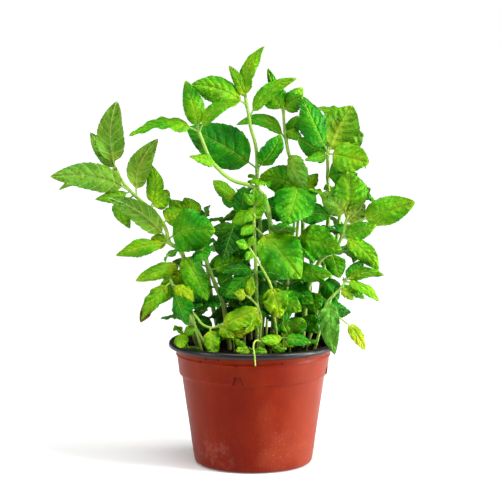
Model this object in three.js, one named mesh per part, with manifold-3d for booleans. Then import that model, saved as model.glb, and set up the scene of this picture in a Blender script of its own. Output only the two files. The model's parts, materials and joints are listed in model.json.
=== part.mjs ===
// A potted mint plant: a two-tone moulded nursery pot, its soil, and leafy stems, one mesh for each stem.
// Millimetres, +Z up. The origin is the middle of the pot's flat underside and the front faces -Y.
import * as THREE from "three";
import { mergeVertices } from "three/addons/utils/BufferGeometryUtils.js";
import Module from "manifold-3d";

const POT_HEIGHT = 95;
const RIM_RADIUS = 65;
const BASE_RADIUS = 45.6;
const COLLAR_BOTTOM = 69.5;
const FLOOR_THICKNESS = 1.6;
const POT_SEGMENTS = 32;
const NOTCH_HEIGHT = 6.2;
const NOTCH_BASE_WIDTH = 9.8;
const NOTCH_TOP_WIDTH = 4.4;
const NOTCH_FLOOR_RADIUS = 55.4;
const NOTCH_FIRST_ANGLE = -102;
const DRAIN_HOLES = 5;
const DRAIN_RADIUS = 4;
const DRAIN_CIRCLE = 27;

const SOIL_LEVEL = 86.5;
const SOIL_DOME = 3;
const SOIL_SEGMENTS = 24;
const SOIL_GAP = 0.6;
const ROOT_DEPTH = 12;
const HOLE_GAP = 0.4;

const STEM_SPACING = 24;
const PETIOLE_HALF = 0.75;
const PETIOLE_SHARE = 0.13;
const MIDRIB_HALF = 0.55;
const CLEARANCE = 0.8;
const SMALL_LEAF = 23.5;
const LARGE_LEAF = 42;

const wasm = await Module();
wasm.setup();

const vec = (x, y, z) => new THREE.Vector3(x, y, z);
const degrees = THREE.MathUtils.degToRad;

// A repeatable stream of numbers from 0 to 1 for one leaf.
function draw(seed) {
  let state = seed >>> 0;
  return () => {
    state = (state + 0x6d2b79f5) >>> 0;
    let t = state;
    t = Math.imul(t ^ (t >>> 15), t | 1);
    t ^= t + Math.imul(t ^ (t >>> 7), t | 61);
    return ((t ^ (t >>> 14)) >>> 0) / 4294967296;
  };
}

function solidFromArrays(points, triangles) {
  const flat = new Float32Array(points.length * 3);
  points.forEach((p, i) => flat.set([p.x, p.y, p.z], i * 3));
  const triVerts = new Uint32Array(triangles.flat());
  const mesh = new wasm.Mesh({ numProp: 3, vertProperties: flat, triVerts });
  return new wasm.Manifold(mesh);
}

function solidFromGeometry(geometry) {
  geometry.deleteAttribute("normal");
  geometry.deleteAttribute("uv");
  const merged = mergeVertices(geometry, 1e-4);
  const made = new wasm.Manifold(
    new wasm.Mesh({
      numProp: 3,
      vertProperties: new Float32Array(merged.attributes.position.array),
      triVerts: new Uint32Array(merged.index.array),
    }),
  );
  return made;
}

function geometryFromSolid(solid) {
  const mesh = solid.getMesh();
  const geometry = new THREE.BufferGeometry();
  geometry.setAttribute("position", new THREE.BufferAttribute(new Float32Array(mesh.vertProperties), 3));
  geometry.setIndex(new THREE.BufferAttribute(new Uint32Array(mesh.triVerts), 1));
  geometry.computeVertexNormals();
  return geometry;
}

function lathe(profile, segments) {
  const points = profile.map(([r, z]) => new THREE.Vector2(r, z));
  const geometry = new THREE.LatheGeometry(points, segments);
  geometry.rotateX(Math.PI / 2);
  return geometry;
}

// The pot's wall: flat underside, rounded foot, tapered wall, wider collar and a rolled rim.
function makePot() {
  const profile = [
    [0, 0],
    [BASE_RADIUS - 4.1, 0],
    [BASE_RADIUS - 1.9, 0.6],
    [BASE_RADIUS - 0.6, 2],
    [BASE_RADIUS, 4.4],
    [55, COLLAR_BOTTOM - 0.5],
    [56.9, COLLAR_BOTTOM + 0.6],
    [58.5, 84],
    [59.4, 84.8],
    [59, 86.6],
    [59.6, 89.4],
    [63.8, 90.2],
    [RIM_RADIUS, 91.6],
    [RIM_RADIUS - 0.2, 93.6],
    [63.9, 94.7],
    [62.4, POT_HEIGHT],
    [60.9, 94.5],
    [59.4, 92.6],
    [57.8, 87],
    [53.6, 68],
    [BASE_RADIUS - 1.4, 4.6],
    [BASE_RADIUS - 3.4, 2.2],
    [BASE_RADIUS - 5.4, FLOOR_THICKNESS],
    [0, FLOOR_THICKNESS],
  ];
  let pot = solidFromGeometry(lathe(profile, POT_SEGMENTS));
  const notch = new THREE.Shape();
  notch.moveTo(-NOTCH_BASE_WIDTH / 2 - 0.4, -1.2);
  notch.lineTo(NOTCH_BASE_WIDTH / 2 + 0.4, -1.2);
  notch.lineTo(NOTCH_TOP_WIDTH / 2, NOTCH_HEIGHT);
  notch.lineTo(-NOTCH_TOP_WIDTH / 2, NOTCH_HEIGHT);
  for (let i = 0; i < 4; i += 1) {
    const cutter = new THREE.ExtrudeGeometry(notch, { depth: 8, bevelEnabled: false });
    cutter.translate(0, 0, NOTCH_FLOOR_RADIUS);
    cutter.rotateX(Math.PI / 2);
    cutter.rotateZ(Math.PI);
    cutter.translate(0, 0, COLLAR_BOTTOM);
    cutter.rotateZ(degrees(NOTCH_FIRST_ANGLE + 90 * i - 90));
    pot = pot.subtract(solidFromGeometry(cutter));
  }
  for (let i = 0; i < DRAIN_HOLES; i += 1) {
    const angle = (2 * Math.PI * (i + 0.5)) / DRAIN_HOLES;
    const drill = new THREE.CylinderGeometry(DRAIN_RADIUS, DRAIN_RADIUS, 6, 12);
    drill.rotateX(Math.PI / 2);
    drill.translate(DRAIN_CIRCLE * Math.cos(angle), DRAIN_CIRCLE * Math.sin(angle), 1);
    pot = pot.subtract(solidFromGeometry(drill));
  }
  return pot;
}

function soilHeight(x, y) {
  const r = Math.hypot(x, y);
  const dome = SOIL_DOME * (1 - (r / 56) ** 2);
  const lumps = 0.7 * Math.sin(x * 0.31 + 1.1) * Math.cos(y * 0.27 - 0.6);
  const ripples = 0.4 * Math.sin(x * 0.13 - y * 0.41);
  return SOIL_LEVEL + dome + lumps + ripples;
}

// The soil fills the pot to just under the rim, with an uneven top and one plain hole for each stem's root.
function makeSoil(roots) {
  const rings = [44, 30, 15];
  const profile = [
    [0, FLOOR_THICKNESS + 0.4],
    [BASE_RADIUS - 6.2, FLOOR_THICKNESS + 0.4],
    [BASE_RADIUS - 4.2, 2.9],
    [BASE_RADIUS - 2.2, 5],
    [53.6 - SOIL_GAP - 0.2, 68],
    [57 - SOIL_GAP - 0.3, 84.4],
    ...rings.map((r) => [r, SOIL_LEVEL]),
    [0, SOIL_LEVEL],
  ];
  const geometry = lathe(profile, SOIL_SEGMENTS);
  const position = geometry.attributes.position;
  for (let i = 0; i < position.count; i += 1) {
    if (position.getZ(i) > SOIL_LEVEL - 0.01) {
      position.setZ(i, soilHeight(position.getX(i), position.getY(i)));
    }
  }
  let soil = solidFromGeometry(geometry);
  for (const { foot, radius } of roots) {
    const wide = (radius + HOLE_GAP) / Math.cos(Math.PI / 5);
    const hole = new THREE.CylinderGeometry(wide, wide, ROOT_DEPTH + 12, 5);
    hole.rotateX(Math.PI / 2);
    hole.translate(foot.x, foot.y, foot.z - ROOT_DEPTH - 0.3 + (ROOT_DEPTH + 12) / 2);
    soil = soil.subtract(solidFromGeometry(hole));
  }
  return soil;
}

// A smooth curve through the route's points, where k counts them from the foot and k = -1 is the root's end.
function routePoint(route, k) {
  const last = route.length - 2;
  const i = Math.min(Math.max(Math.floor(k), 0), last - 1) + 1;
  const t = k - (i - 1);
  const p1 = route[i];
  const p2 = route[i + 1];
  const p0 = route[i - 1];
  const p3 = route[i + 2] ?? p2.clone().multiplyScalar(2).sub(p1);
  const point = p1.clone().multiplyScalar(2);
  point.addScaledVector(p2, t).addScaledVector(p0, -t);
  point.addScaledVector(p0, 2 * t * t).addScaledVector(p1, -5 * t * t);
  point.addScaledVector(p2, 4 * t * t).addScaledVector(p3, -t * t);
  point.addScaledVector(p0, -t * t * t).addScaledVector(p1, 3 * t * t * t);
  point.addScaledVector(p2, -3 * t * t * t).addScaledVector(p3, t * t * t);
  return point.multiplyScalar(0.5);
}

// A square stem along the route, thinner towards the top, with its root straight down into the soil.
function makeTube(stem) {
  const { route, thick, thin } = stem;
  const last = route.length - 2;
  const rings = [{ centre: route[0], radius: thick }];
  for (let k = 0; k <= last; k += 1) {
    const here = routePoint(route, k);
    rings.push({ centre: here, radius: thick + ((thin - thick) * k) / last });
    if (k === last) {
      break;
    }
    const parts = Math.min(3, Math.max(1, Math.round(here.distanceTo(route[k + 2]) / STEM_SPACING)));
    for (let j = 1; j < parts; j += 1) {
      const at = k + j / parts;
      rings.push({ centre: routePoint(route, at), radius: thick + ((thin - thick) * at) / last });
    }
  }
  const points = [];
  const triangles = [];
  const side = vec(1, 0, 0);
  rings.forEach((ring, i) => {
    const ahead = rings[Math.min(i + 1, rings.length - 1)].centre;
    const behind = rings[Math.max(i - 1, 0)].centre;
    const along = ahead.clone().sub(behind).normalize();
    side.addScaledVector(along, -side.dot(along)).normalize();
    const other = along.clone().cross(side);
    for (let c = 0; c < 4; c += 1) {
      const angle = (c * Math.PI) / 2;
      const point = ring.centre.clone();
      point.addScaledVector(side, ring.radius * Math.cos(angle));
      point.addScaledVector(other, ring.radius * Math.sin(angle));
      points.push(point);
    }
    if (i > 0) {
      for (let c = 0; c < 4; c += 1) {
        const a = 4 * (i - 1) + c;
        const b = 4 * (i - 1) + ((c + 1) % 4);
        triangles.push([a, b, a + 4], [b, b + 4, a + 4]);
      }
    }
  });
  const top = 4 * (rings.length - 1);
  triangles.push([0, 2, 1], [0, 3, 2], [top, top + 1, top + 2], [top, top + 2, top + 3]);
  return solidFromArrays(points, triangles);
}

const FACES = {
  u: vec(0, 0, 1),
  c: vec(0, -1, 0),
  b: vec(0, 1, 0),
  l: vec(-1, 0, 0),
  r: vec(1, 0, 0),
};

// The first letter of a face is the main way that the upper side looks, and later ones lean it.
function faceVector(letters) {
  const sum = vec(0, 0, 0);
  [...letters].forEach((letter, i) => sum.addScaledVector(FACES[letter], i === 0 ? 1 : 0.55));
  return sum.normalize();
}

// Half the width of an ovate mint blade as a share of its widest, from 0 at the stalk to 1 at the tip.
function ovate(s) {
  return (s ** 0.58 * (1 - s) ** 0.8) / 0.391;
}

const LARGE_TEETH = [0.09, 0.24, 0.4, 0.56, 0.72, 0.88];

// A leaf as a solid: a short stalk, then a lens-shaped blade with a toothed edge, folded, arched and waved.
function makeLeaf(leaf, grow, bladeOnly) {
  const { base, reach, normal, width, arch, fold, twist, sway, wave, phase, stalk } = leaf;
  const length = reach.length();
  const along = reach.clone().normalize();
  const across = along.clone().cross(normal).normalize();
  const start = stalk ?? PETIOLE_SHARE;
  const small = length < SMALL_LEAF;
  const centre = (t) => {
    const point = base.clone().addScaledVector(reach, t * (1 + grow / length));
    point.addScaledVector(normal, arch * length * 4 * t * (1 - t));
    return point.addScaledVector(across, sway * length * 4 * t * (1 - t));
  };
  const frameAt = (t) => {
    const slope = arch * 4 * (1 - 2 * t);
    const up = normal.clone().addScaledVector(along, -slope).normalize();
    const turn = twist * Math.max(0, (t - start) / (1 - start) - 0.3);
    const out = across.clone().multiplyScalar(Math.cos(turn)).addScaledVector(up, Math.sin(turn));
    up.multiplyScalar(Math.cos(turn)).addScaledVector(across, -Math.sin(turn));
    return { up, out };
  };
  const points = [];
  const triangles = [];
  const add = (point) => points.push(point) - 1;
  const ring = (t, half) => {
    const { up, out } = frameAt(t);
    const c = centre(t);
    return {
      left: add(c.clone().addScaledVector(out, -half)),
      top: add(c.clone().addScaledVector(up, half)),
      right: add(c.clone().addScaledVector(out, half)),
      bottom: add(c.clone().addScaledVector(up, -half)),
    };
  };
  const half = PETIOLE_HALF * (small ? 0.8 : 1) + grow / 2;
  const neck = ring(start, half);
  const heel = bladeOnly ? null : ring(0, half);
  if (heel) {
    const keys = ["left", "top", "right", "bottom"];
    keys.forEach((key, i) => {
      const next = keys[(i + 1) % 4];
      triangles.push([heel[key], heel[next], neck[key]], [heel[next], neck[next], neck[key]]);
    });
    triangles.push([heel.left, heel.bottom, heel.top], [heel.top, heel.bottom, heel.right]);
  } else {
    triangles.push([neck.left, neck.bottom, neck.top], [neck.top, neck.bottom, neck.right]);
  }
  const tip = { v: add(centre(1)), s: 1 };
  const large = length > LARGE_LEAF;
  const ribs = small ? [0.5] : large ? [0.27, 0.54, 0.8] : [0.48];
  const teeth = small ? [0.15, 0.4, 0.7] : large ? LARGE_TEETH : [0.14, 0.36, 0.6, 0.83];
  const upper = [{ v: neck.top, s: 0 }];
  const lower = [{ v: neck.bottom, s: 0 }];
  for (const s of ribs) {
    const t = start + (1 - start) * s;
    const { up } = frameAt(t);
    const thick = MIDRIB_HALF * (1.05 - 0.35 * s) + grow;
    upper.push({ v: add(centre(t).addScaledVector(up, thick)), s });
    lower.push({ v: add(centre(t).addScaledVector(up, -thick)), s });
  }
  upper.push(tip);
  lower.push(tip);
  for (const side of [-1, 1]) {
    const edge = [{ v: side < 0 ? neck.left : neck.right, s: 0 }];
    teeth.forEach((s, i) => {
      const t = start + (1 - start) * s;
      const { up, out } = frameAt(t);
      const tooth = small ? 1 : i % 2 === 0 ? 1.07 : 0.94;
      const reachOut = (width / 2) * ovate(s) * tooth + grow;
      const ripple = wave * reachOut * Math.sin(2 * Math.PI * (1.5 * s + phase + (side < 0 ? 0.35 : 0)));
      const point = centre(t).addScaledVector(out, side * reachOut * Math.cos(fold));
      edge.push({ v: add(point.addScaledVector(up, ripple - reachOut * Math.sin(fold))), s });
    });
    edge.push(tip);
    strip(upper, edge, side < 0, triangles);
    strip(lower, edge, side > 0, triangles);
  }
  const made = solidFromArrays(points, triangles);
  if (made.volume() > 0) {
    return made;
  }
  return solidFromArrays(points, triangles.map(([a, b, c]) => [a, c, b]));
}

// Fills the band between a blade's midrib and its edge, each side advancing by its place along the blade.
function strip(inner, outer, flip, triangles) {
  let i = 0;
  let j = 0;
  while (i < inner.length - 1 || j < outer.length - 1) {
    const outerTurn =
      i === inner.length - 1 || (j < outer.length - 1 && outer[j + 1].s <= inner[i + 1].s);
    const a = inner[i].v;
    const b = outer[j].v;
    const c = outerTurn ? outer[j + 1].v : inner[i + 1].v;
    if (outerTurn) {
      j += 1;
    } else {
      i += 1;
    }
    if (a !== c && b !== c) {
      triangles.push(flip ? [a, c, b] : [a, b, c]);
    }
  }
}

// Stems, seen from the front: foot in the soil, route up from it, thickness low and high, then leaves.
// A leaf is its place on the route, the reach to its tip, its width, the way its face looks, its arch, then
// any sideways bend and the share of its reach that is stalk.
// A pair is its place on the route, its compass angle, its leaves' length and how steeply they rise.
const STEMS = [
  {
    name: "stem_top_arching",
    foot: [14, -8],
    route: [
      [16, -10, 130], [14, -10, 175], [9, -10, 205], [-1, -10, 214.5], [-13, -10, 218], [-21.5, -10, 223],
      [-27.5, -10, 229], [-33, -10, 236], [-38, -10, 248], [-41, -10, 256], [-42.5, -10, 262],
    ],
    thick: 2, thin: 1.3,
    leaves: [
      [10, [-10, -4, 39], 17, "c", 0.04], [10, [-53, -4, -3], 19, "uc", 0.16, 0.03],
      [9.9, [32, -8, 25], 11, "c", 0.05, -0.16], [7, [-21, -8, 9], 9, "cu", 0.1],
      [0.7, [12, -8, -14], 15, "c", 0.1], [1.3, [-14, -8, -14], 16, "c", 0.1],
    ],
    pairs: [[1, 20, 30, -10], [2, 110, 34, -5], [2.6, 200, 30, -20]],
  },
  {
    name: "stem_top_middle",
    foot: [6, 18],
    route: [
      [8, 16, 130], [6, 14, 170], [3, 12, 212], [3, 10, 226], [2, 8, 243], [-2, 6, 258], [-3, 5, 265],
      [-5, 4, 275], [-6, 4, 281],
    ],
    thick: 1.9, thin: 1.2,
    leaves: [
      [4, [-54, 6, 31], 36, "c", 0.05, 0.04], [4, [18, -6, 27], 18, "cr", 0.1],
      [7, [36, -8, 31], 12, "c", 0, -0.13],
      [8, [-42, -5, 16], 24, "cu", 0.08, 0.06], [8.3, [14, -3, 43], 13, "cl", 0.03, -0.15],
      [8.5, [-13, 0, 27], 9, "c", 0],
      [0.6, [-12, -10, -4], 15, "c", 0.1], [0.9, [14, -6, -12], 18, "c", 0.1],
    ],
    pairs: [[1, 100, 34, -10], [2, 40, 36, -5], [3, 95, 30, 0], [2.5, 170, 30, -20]],
  },
  {
    name: "stem_top_right",
    foot: [30, 14],
    route: [
      [36, 14, 130], [38, 12, 170], [37, 10, 211], [31, 10, 227], [27, 10, 238], [25, 10, 249],
      [23.5, 10, 261], [23, 10, 270], [22, 10, 278],
    ],
    thick: 1.9, thin: 1.1,
    leaves: [
      [3.4, [-11, -33, -33], 35, "cu", 0.06], [3, [-32, 8, 9], 24, "c", 0.06, 0.06],
      [5.2, [13, -13, -31], 17, "cl", 0.08, -0.05], [3, [13, 2, 11], 11, "c", 0.08],
      [6.5, [13, -4, -6], 10, "cu", 0.05],
      [5.8, [-38, -6, 13], 12, "cu", 0.05, 0.26], [5.8, [9, 4, 20], 12, "c", 0.05],
      [8, [-10, -6, 22], 20, "c", 0.05],
      [8, [15, -5, 12], 16, "cu", 0.1], [8, [15, 12, 17], 14, "c", 0.1], [8, [-16, 8, 16], 13, "c", 0.1],
      [9, [-11, 0, 25], 8, "c", 0],
      [0.8, [12, -14, -12], 18, "c", 0.1], [1, [-12, -10, -12], 18, "c", 0.1],
    ],
    pairs: [[1, 80, 34, -15], [2, 160, 34, -10], [2.6, 20, 30, -10]],
  },
  {
    name: "stem_left",
    foot: [-42, -2],
    route: [
      [-46, -8, 105], [-50, -10, 130], [-52, -13, 155], [-55, -14, 166], [-60, -14, 169.5],
      [-64, -13, 172],
      [-66, -11, 181], [-71, -10, 190], [-78, -8, 197.5], [-86.5, -6, 204], [-93, -5, 210],
      [-99, -4, 217],
      [-104, -4, 226],
    ],
    thick: 2.1, thin: 1.4,
    leaves: [
      [13, [1, -6, 53], 22, "b", 0.04, 0.09], [12.9, [-21, 12, 29], 13, "b", 0.05],
      [11, [-60, -14, 13], 22, "c", 0.06, 0.1],
      [11, [-56, 8, 0], 11, "c", 0.05, 0.2], [11, [-27, -8, -5], 10, "cu", 0.05],
      [10.3, [16, 6, 44], 19, "b", 0.05, 0.13],
      [9, [0, 12, 32], 14, "c", 0.1, 0.1], [9, [14, 12, 12], 15, "c", 0.1],
      [7.6, [16, 12, 8], 17, "c", 0.08],
      [6.2, [-45, -12, 34], 18, "b", 0.06, -0.08], [10.6, [-4, 8, -27], 17, "c", 0.08, 0.28],
      [6, [-14, 4, 3], 12, "c", 0.05],
      [6, [-40, -8, -9], 14, "cu", 0.08, 0.02], [6.3, [36, -16, 9], 35, "cl", 0.05, -0.12],
      [3, [-37, -10, -11], 13, "cu", 0.06, 0.02], [3, [-22, -14, -30], 16, "c", 0.1],
      [3.9, [20, -12, -36], 20, "cr", 0.08],
      [3.1, [19, 0, -26], 16, "c", 0.08],
      [1.3, [15, 6, -8], 15, "c", 0.1],
    ],
    pairs: [[1.6, 100, 26, -5], [4, 80, 24, 10]],
  },
  {
    name: "stem_left_low",
    foot: [-34, -20],
    route: [[-42, -24, 105], [-52, -24, 124], [-60, -24, 139], [-63, -24, 146]],
    thick: 1.6, thin: 1,
    leaves: [
      [3.6, [-23, -8, -30], 13, "cu", 0.08], [3.2, [11, -10, -31], 20, "cl", 0.06],
      [3.2, [23, -8, -2], 13, "uc", 0.1],
    ],
    pairs: [[1.6, 70, 24, 0]],
  },
  {
    name: "shoot_front_left",
    foot: [-38, -30],
    route: [
      [-43, -34, 108], [-46, -36, 122], [-42, -38, 118], [-38, -38, 113], [-31, -38, 110.5],
      [-26, -38, 112],
    ],
    thick: 1.1, thin: 0.9,
    leaves: [
      [6, [29, -10, 15], 18, "cu", 0.08], [6, [12, -9, -8], 11, "cu", 0.08],
      [5.9, [24, -3, -3], 13, "c", 0.12, 0.1],
      [4.8, [4, -12, -20], 13, "c", 0.06],
      [2, [-16, 8, 6], 11, "u", 0.1],
    ],
    pairs: [],
  },
  {
    name: "stem_centre_left",
    foot: [-18, -8],
    route: [
      [-20, -10, 106], [-23, -10, 124], [-28, -10, 137], [-33, -10, 150], [-38, -8, 163], [-42, -5, 178],
      [-44, 0, 187], [-45, 2, 192],
    ],
    thick: 2, thin: 1.2,
    leaves: [
      [7, [-9, 8, 17], 18, "c", 0.05], [7, [-21, 10, 15], 17, "c", 0.05],
      [4, [26, 4, 8], 17, "c", 0.1],
      [1.5, [14, 4, -8], 15, "c", 0.1], [0.9, [-12, -6, -4], 12, "c", 0.1],
      [3.2, [13, 8, 6], 16, "c", 0.1],
    ],
    pairs: [[5, 60, 30, -15], [3, 140, 30, -15], [2, 20, 28, -20]],
  },
  {
    name: "stem_centre_dark",
    foot: [-7, 6],
    route: [[-9, 6, 120], [-10, 4, 150], [-12, 2, 172], [-12, 2, 190], [-11, 2, 203], [-11, 2, 209]],
    thick: 1.6, thin: 1.1,
    leaves: [
      [5, [-20, -2, 15], 13, "cu", 0.08], [4, [5, -6, 24], 17, "c", 0.05],
      [4, [-9, -14, -35], 22, "cl", 0.05],
      [3, [2, -14, -27], 13, "c", 0.05], [4.7, [-13, 6, 5], 11, "c", 0.05],
      [5, [10, 12, 8], 14, "u", 0.1],
      [3.4, [18, 6, 14], 20, "c", 0.1], [3.5, [-21, -4, -2], 14, "c", 0.1],
      [2.4, [-20, 4, 10], 18, "c", 0.1],
      [1.3, [15, -8, -8], 15, "c", 0.1],
      [0.8, [-14, -4, -6], 16, "c", 0.1], [1.6, [14, 4, -4], 18, "c", 0.1],
      [2.6, [16, 6, 8], 18, "c", 0.1],
    ],
    pairs: [[2, 85, 34, -10], [1, 20, 30, -15], [3, 120, 30, 0]],
  },
  {
    name: "stem_centre",
    foot: [3, -14],
    route: [[3, -16, 120], [2, -18, 150], [1, -20, 175], [0.5, -20, 190], [1, -20, 201]],
    thick: 1.7, thin: 1.1,
    leaves: [
      [3.6, [35, -17, -37], 33, "cu", 0.06, -0.02, 0.2], [3.7, [-10, -10, -6], 10, "cu", 0.1],
      [5, [-8, -5, 10], 9, "c", 0.1],
      [5, [9, -5, 9], 9, "c", 0.1], [4.6, [-8, -6, -8], 9, "c", 0.1], [4.6, [9, -7, 2], 9, "cu", 0.1],
      [5, [0, 2, 13], 8, "c", 0.05], [2, [-22, -8, -16], 15, "c", 0.1],
    ],
    pairs: [[2, 180, 26, -15], [1, 250, 26, -15]],
  },
  {
    name: "shoot_centre",
    foot: [19, -26],
    route: [[17, -31, 110], [15, -34, 128], [13, -36, 143], [5, -36, 158], [-3, -34, 171]],
    thick: 1.2, thin: 0.8,
    leaves: [
      [3, [7, -12, -24], 20, "cu", 0.06], [2.6, [22, -2, -14], 18, "c", 0.06],
      [5, [-10, -5, 5], 8, "cu", 0.08],
      [5, [3, -3, 9], 6, "c", 0.05], [4.8, [-4, -8, -6], 7, "c", 0.05],
    ],
    pairs: [],
  },
  {
    name: "shoot_front_centre",
    foot: [5, -36],
    route: [[5, -38, 103], [6, -39, 117], [4, -39, 125], [0, -39, 131], [-5, -39, 135]],
    thick: 1, thin: 0.8,
    leaves: [
      [5, [-10, -4, 2], 10, "cu", 0.12], [3, [-10, -8, -17], 11, "c", 0.06],
      [4.4, [1, 3, 17], 8, "c", 0.05],
    ],
    pairs: [],
  },
  {
    name: "stem_right_mid",
    foot: [22, -2],
    route: [[24, -2, 120], [27, -3, 150], [30, -3, 175], [32, -3, 194]],
    thick: 1.7, thin: 1.1,
    leaves: [
      [2, [33, -18, -2], 16, "cu", 0.08], [3, [37, -12, -8], 26, "c", 0.06],
      [4, [26, -8, 3], 17, "cu", 0.06],
      [3, [-14, -16, -16], 17, "c", 0.08], [1.6, [20, -16, -12], 17, "c", 0.08],
      [4, [8, -10, 14], 18, "c", 0.08], [4, [-27, 6, 5], 20, "c", 0.06],
      [1.3, [-6, -16, -20], 16, "c", 0.1], [0.7, [12, -12, -8], 15, "c", 0.1],
    ],
    pairs: [[1.4, 60, 30, -10], [4, 100, 26, 5], [2.6, 80, 32, -10]],
  },
  {
    name: "stem_right",
    foot: [38, 4],
    route: [
      [40, 2, 120], [44, 0, 141], [51, -4, 157], [59.5, -6, 163.5], [64.5, -6, 169], [67.5, -6, 176],
      [70, -6, 185], [72, -5, 192], [73, -4, 199],
    ],
    thick: 1.9, thin: 1.2,
    leaves: [
      [6.8, [53, -8, 20], 23, "c", 0, -0.01, 0.3], [6, [28, -8, -25], 16, "cu", 0.08, -0.06],
      [7, [15, -2, 16], 17, "b", 0.05],
      [8.6, [17, 6, 16], 12, "b", 0.05], [8, [-20, -6, 18], 21, "c", 0.05],
      [8.6, [-1, -8, 30], 28, "c", 0.06],
      [6, [26, -4, 9], 15, "c", 0.05], [4, [6, -12, -18], 17, "c", 0.1],
      [1.6, [6, -14, -16], 17, "c", 0.1],
      [0.8, [10, -12, -12], 15, "c", 0.1],
    ],
    pairs: [[1, 10, 30, -10], [3, 100, 30, -10], [2, 310, 28, -20]],
  },
  {
    name: "stem_right_top",
    foot: [42, 18],
    route: [[50, 16, 120], [56, 14, 160], [58, 12, 200], [57, 10, 220], [57, 8, 236], [57, 8, 243]],
    thick: 1.9, thin: 1.2,
    leaves: [
      [5.2, [-20, -8, 44], 23, "cr", 0.05], [5.2, [-18, -12, -4], 10, "cu", 0.05],
      [5, [19, 8, 38], 36, "b", 0.05],
      [5.2, [31, -14, -6], 27, "cu", 0.06], [4, [14, -12, 4], 21, "c", 0.08],
      [4.8, [-25, -3, 13], 17, "c", 0.06],
      [0.9, [-12, -12, -12], 18, "c", 0.1], [1.5, [12, -12, -14], 18, "c", 0.1],
    ],
    pairs: [[1, 60, 32, -10], [2, 150, 34, -10], [3, 60, 30, 0], [2.5, 240, 30, -25]],
  },
  {
    name: "stem_right_back",
    foot: [42, 27],
    route: [[58, 28, 130], [66, 26, 180], [71, 22, 225], [74, 18, 252], [75, 17, 261]],
    thick: 1.7, thin: 1.1,
    leaves: [
      [5, [-30, 6, 10], 13, "uc", 0.1], [4.6, [4, 16, -22], 16, "b", 0.06],
    ],
    pairs: [[1, 30, 34, -10], [2, 100, 36, -5], [3, 60, 30, 0], [2.5, 330, 30, -20]],
  },
  {
    name: "stem_right_low",
    foot: [46, -22],
    route: [
      [51, -23, 108], [53, -24, 120], [57, -24, 129], [64, -22, 136], [68, -20, 140], [69, -18, 143],
    ],
    thick: 1.3, thin: 1,
    leaves: [
      [6, [26, -8, -14], 14, "uc", 0.17], [4.6, [18, 2, -9], 9, "uc", 0.12],
      [4.3, [10, -8, -7], 8, "cu", 0.08],
      [6, [15, 8, 15], 12, "c", 0.05], [6, [30, -2, 5], 10, "c", 0.05, -0.14],
      [2.2, [31, -4, -30], 11, "cr", 0.05, -0.1, 0.5],
      [3.3, [2, -22, -40], 16, "c", 0.12],
    ],
    pairs: [],
  },
  {
    name: "stem_back_left",
    foot: [-26, 26],
    route: [[-32, 30, 120], [-36, 32, 150], [-38, 32, 176], [-38, 32, 184]],
    thick: 1.7, thin: 1.1,
    leaves: [
      [0.8, [12, -10, -4], 18, "c", 0.1], [1.3, [-12, -8, -10], 18, "c", 0.1],
      [2, [17, -6, -6], 20, "c", 0.1],
    ],
    pairs: [[1, 120, 34, 0], [1.9, 40, 34, 5], [3, 130, 30, 15], [4, 60, 14, 40]],
  },
  {
    name: "stem_back_middle",
    foot: [-2, 38],
    route: [[-3, 44, 125], [-4, 46, 155], [-3, 46, 184], [-3, 46, 192]],
    thick: 1.7, thin: 1.1,
    leaves: [
      [0.8, [16, -14, -6], 20, "c", 0.1], [1.2, [-18, -10, -8], 20, "c", 0.1],
      [1.6, [16, -8, -12], 20, "c", 0.1],
    ],
    pairs: [[1, 80, 34, 0], [1.9, 0, 36, 5], [3, 95, 32, 10], [4, 20, 14, 40]],
  },
  {
    name: "stem_back_right",
    foot: [26, 36],
    route: [[30, 44, 130], [34, 48, 165], [36, 50, 200], [36, 50, 208]],
    thick: 1.7, thin: 1.1,
    leaves: [
      [0.8, [-16, -12, -8], 20, "c", 0.1], [1.2, [14, -12, -12], 20, "c", 0.1],
      [1.7, [-15, -8, -8], 20, "c", 0.1],
    ],
    pairs: [[1, 100, 34, 0], [1.9, 30, 36, 5], [3, 110, 32, 10], [4, 40, 14, 40]],
  },
  {
    name: "stem_back_low",
    foot: [10, 50],
    route: [[12, 58, 112], [14, 64, 134], [15, 67, 142]],
    thick: 1.3, thin: 1,
    leaves: [],
    pairs: [[1, 90, 28, 0], [2, 10, 28, 5], [3, 90, 16, 30]],
  },
  {
    name: "stem_side_left_low",
    foot: [-44, 18],
    route: [[-52, 22, 110], [-58, 24, 132], [-60, 25, 140]],
    thick: 1.3, thin: 1,
    leaves: [
      [1, [14, -8, -4], 14, "c", 0.1],
    ],
    pairs: [[1, 150, 26, 0], [2, 80, 28, 5], [3, 160, 16, 30]],
  },
  {
    name: "seedling_front",
    foot: [21, -39],
    route: [[22, -42, 96], [23, -43, 104]],
    thick: 0.9, thin: 0.7,
    leaves: [
      [2, [20, -5, -3], 11, "cu", 0.1], [2, [-17, -7, -3], 11, "cu", 0.1],
      [1, [-9, -6, 4], 9, "cu", 0.05],
      [1, [12, 6, 6], 9, "cu", 0.05],
    ],
    pairs: [],
  },
  {
    name: "seedling_right",
    foot: [28, -18],
    route: [[28, -26, 98], [29, -31, 106]],
    thick: 0.9, thin: 0.7,
    leaves: [[2, [9, -6, 11], 15, "c", 0.06], [1.4, [-6, 4, 12], 9, "cu", 0.05]],
    pairs: [],
  },
  {
    name: "seedling_left",
    foot: [-48, -12],
    route: [[-52, -19, 97], [-54, -23, 104]],
    thick: 0.9, thin: 0.7,
    leaves: [
      [2, [1, -10, -11], 12, "cu", 0.1], [1.7, [-6, 6, 7], 8, "u", 0.05], [1.8, [11, -4, 5], 9, "cu", 0.1],
    ],
    pairs: [],
  },
  {
    name: "seedling_rim",
    foot: [-1, -47],
    route: [[-1, -50, 92], [-1, -51, 95]],
    thick: 0.8, thin: 0.7,
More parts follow.
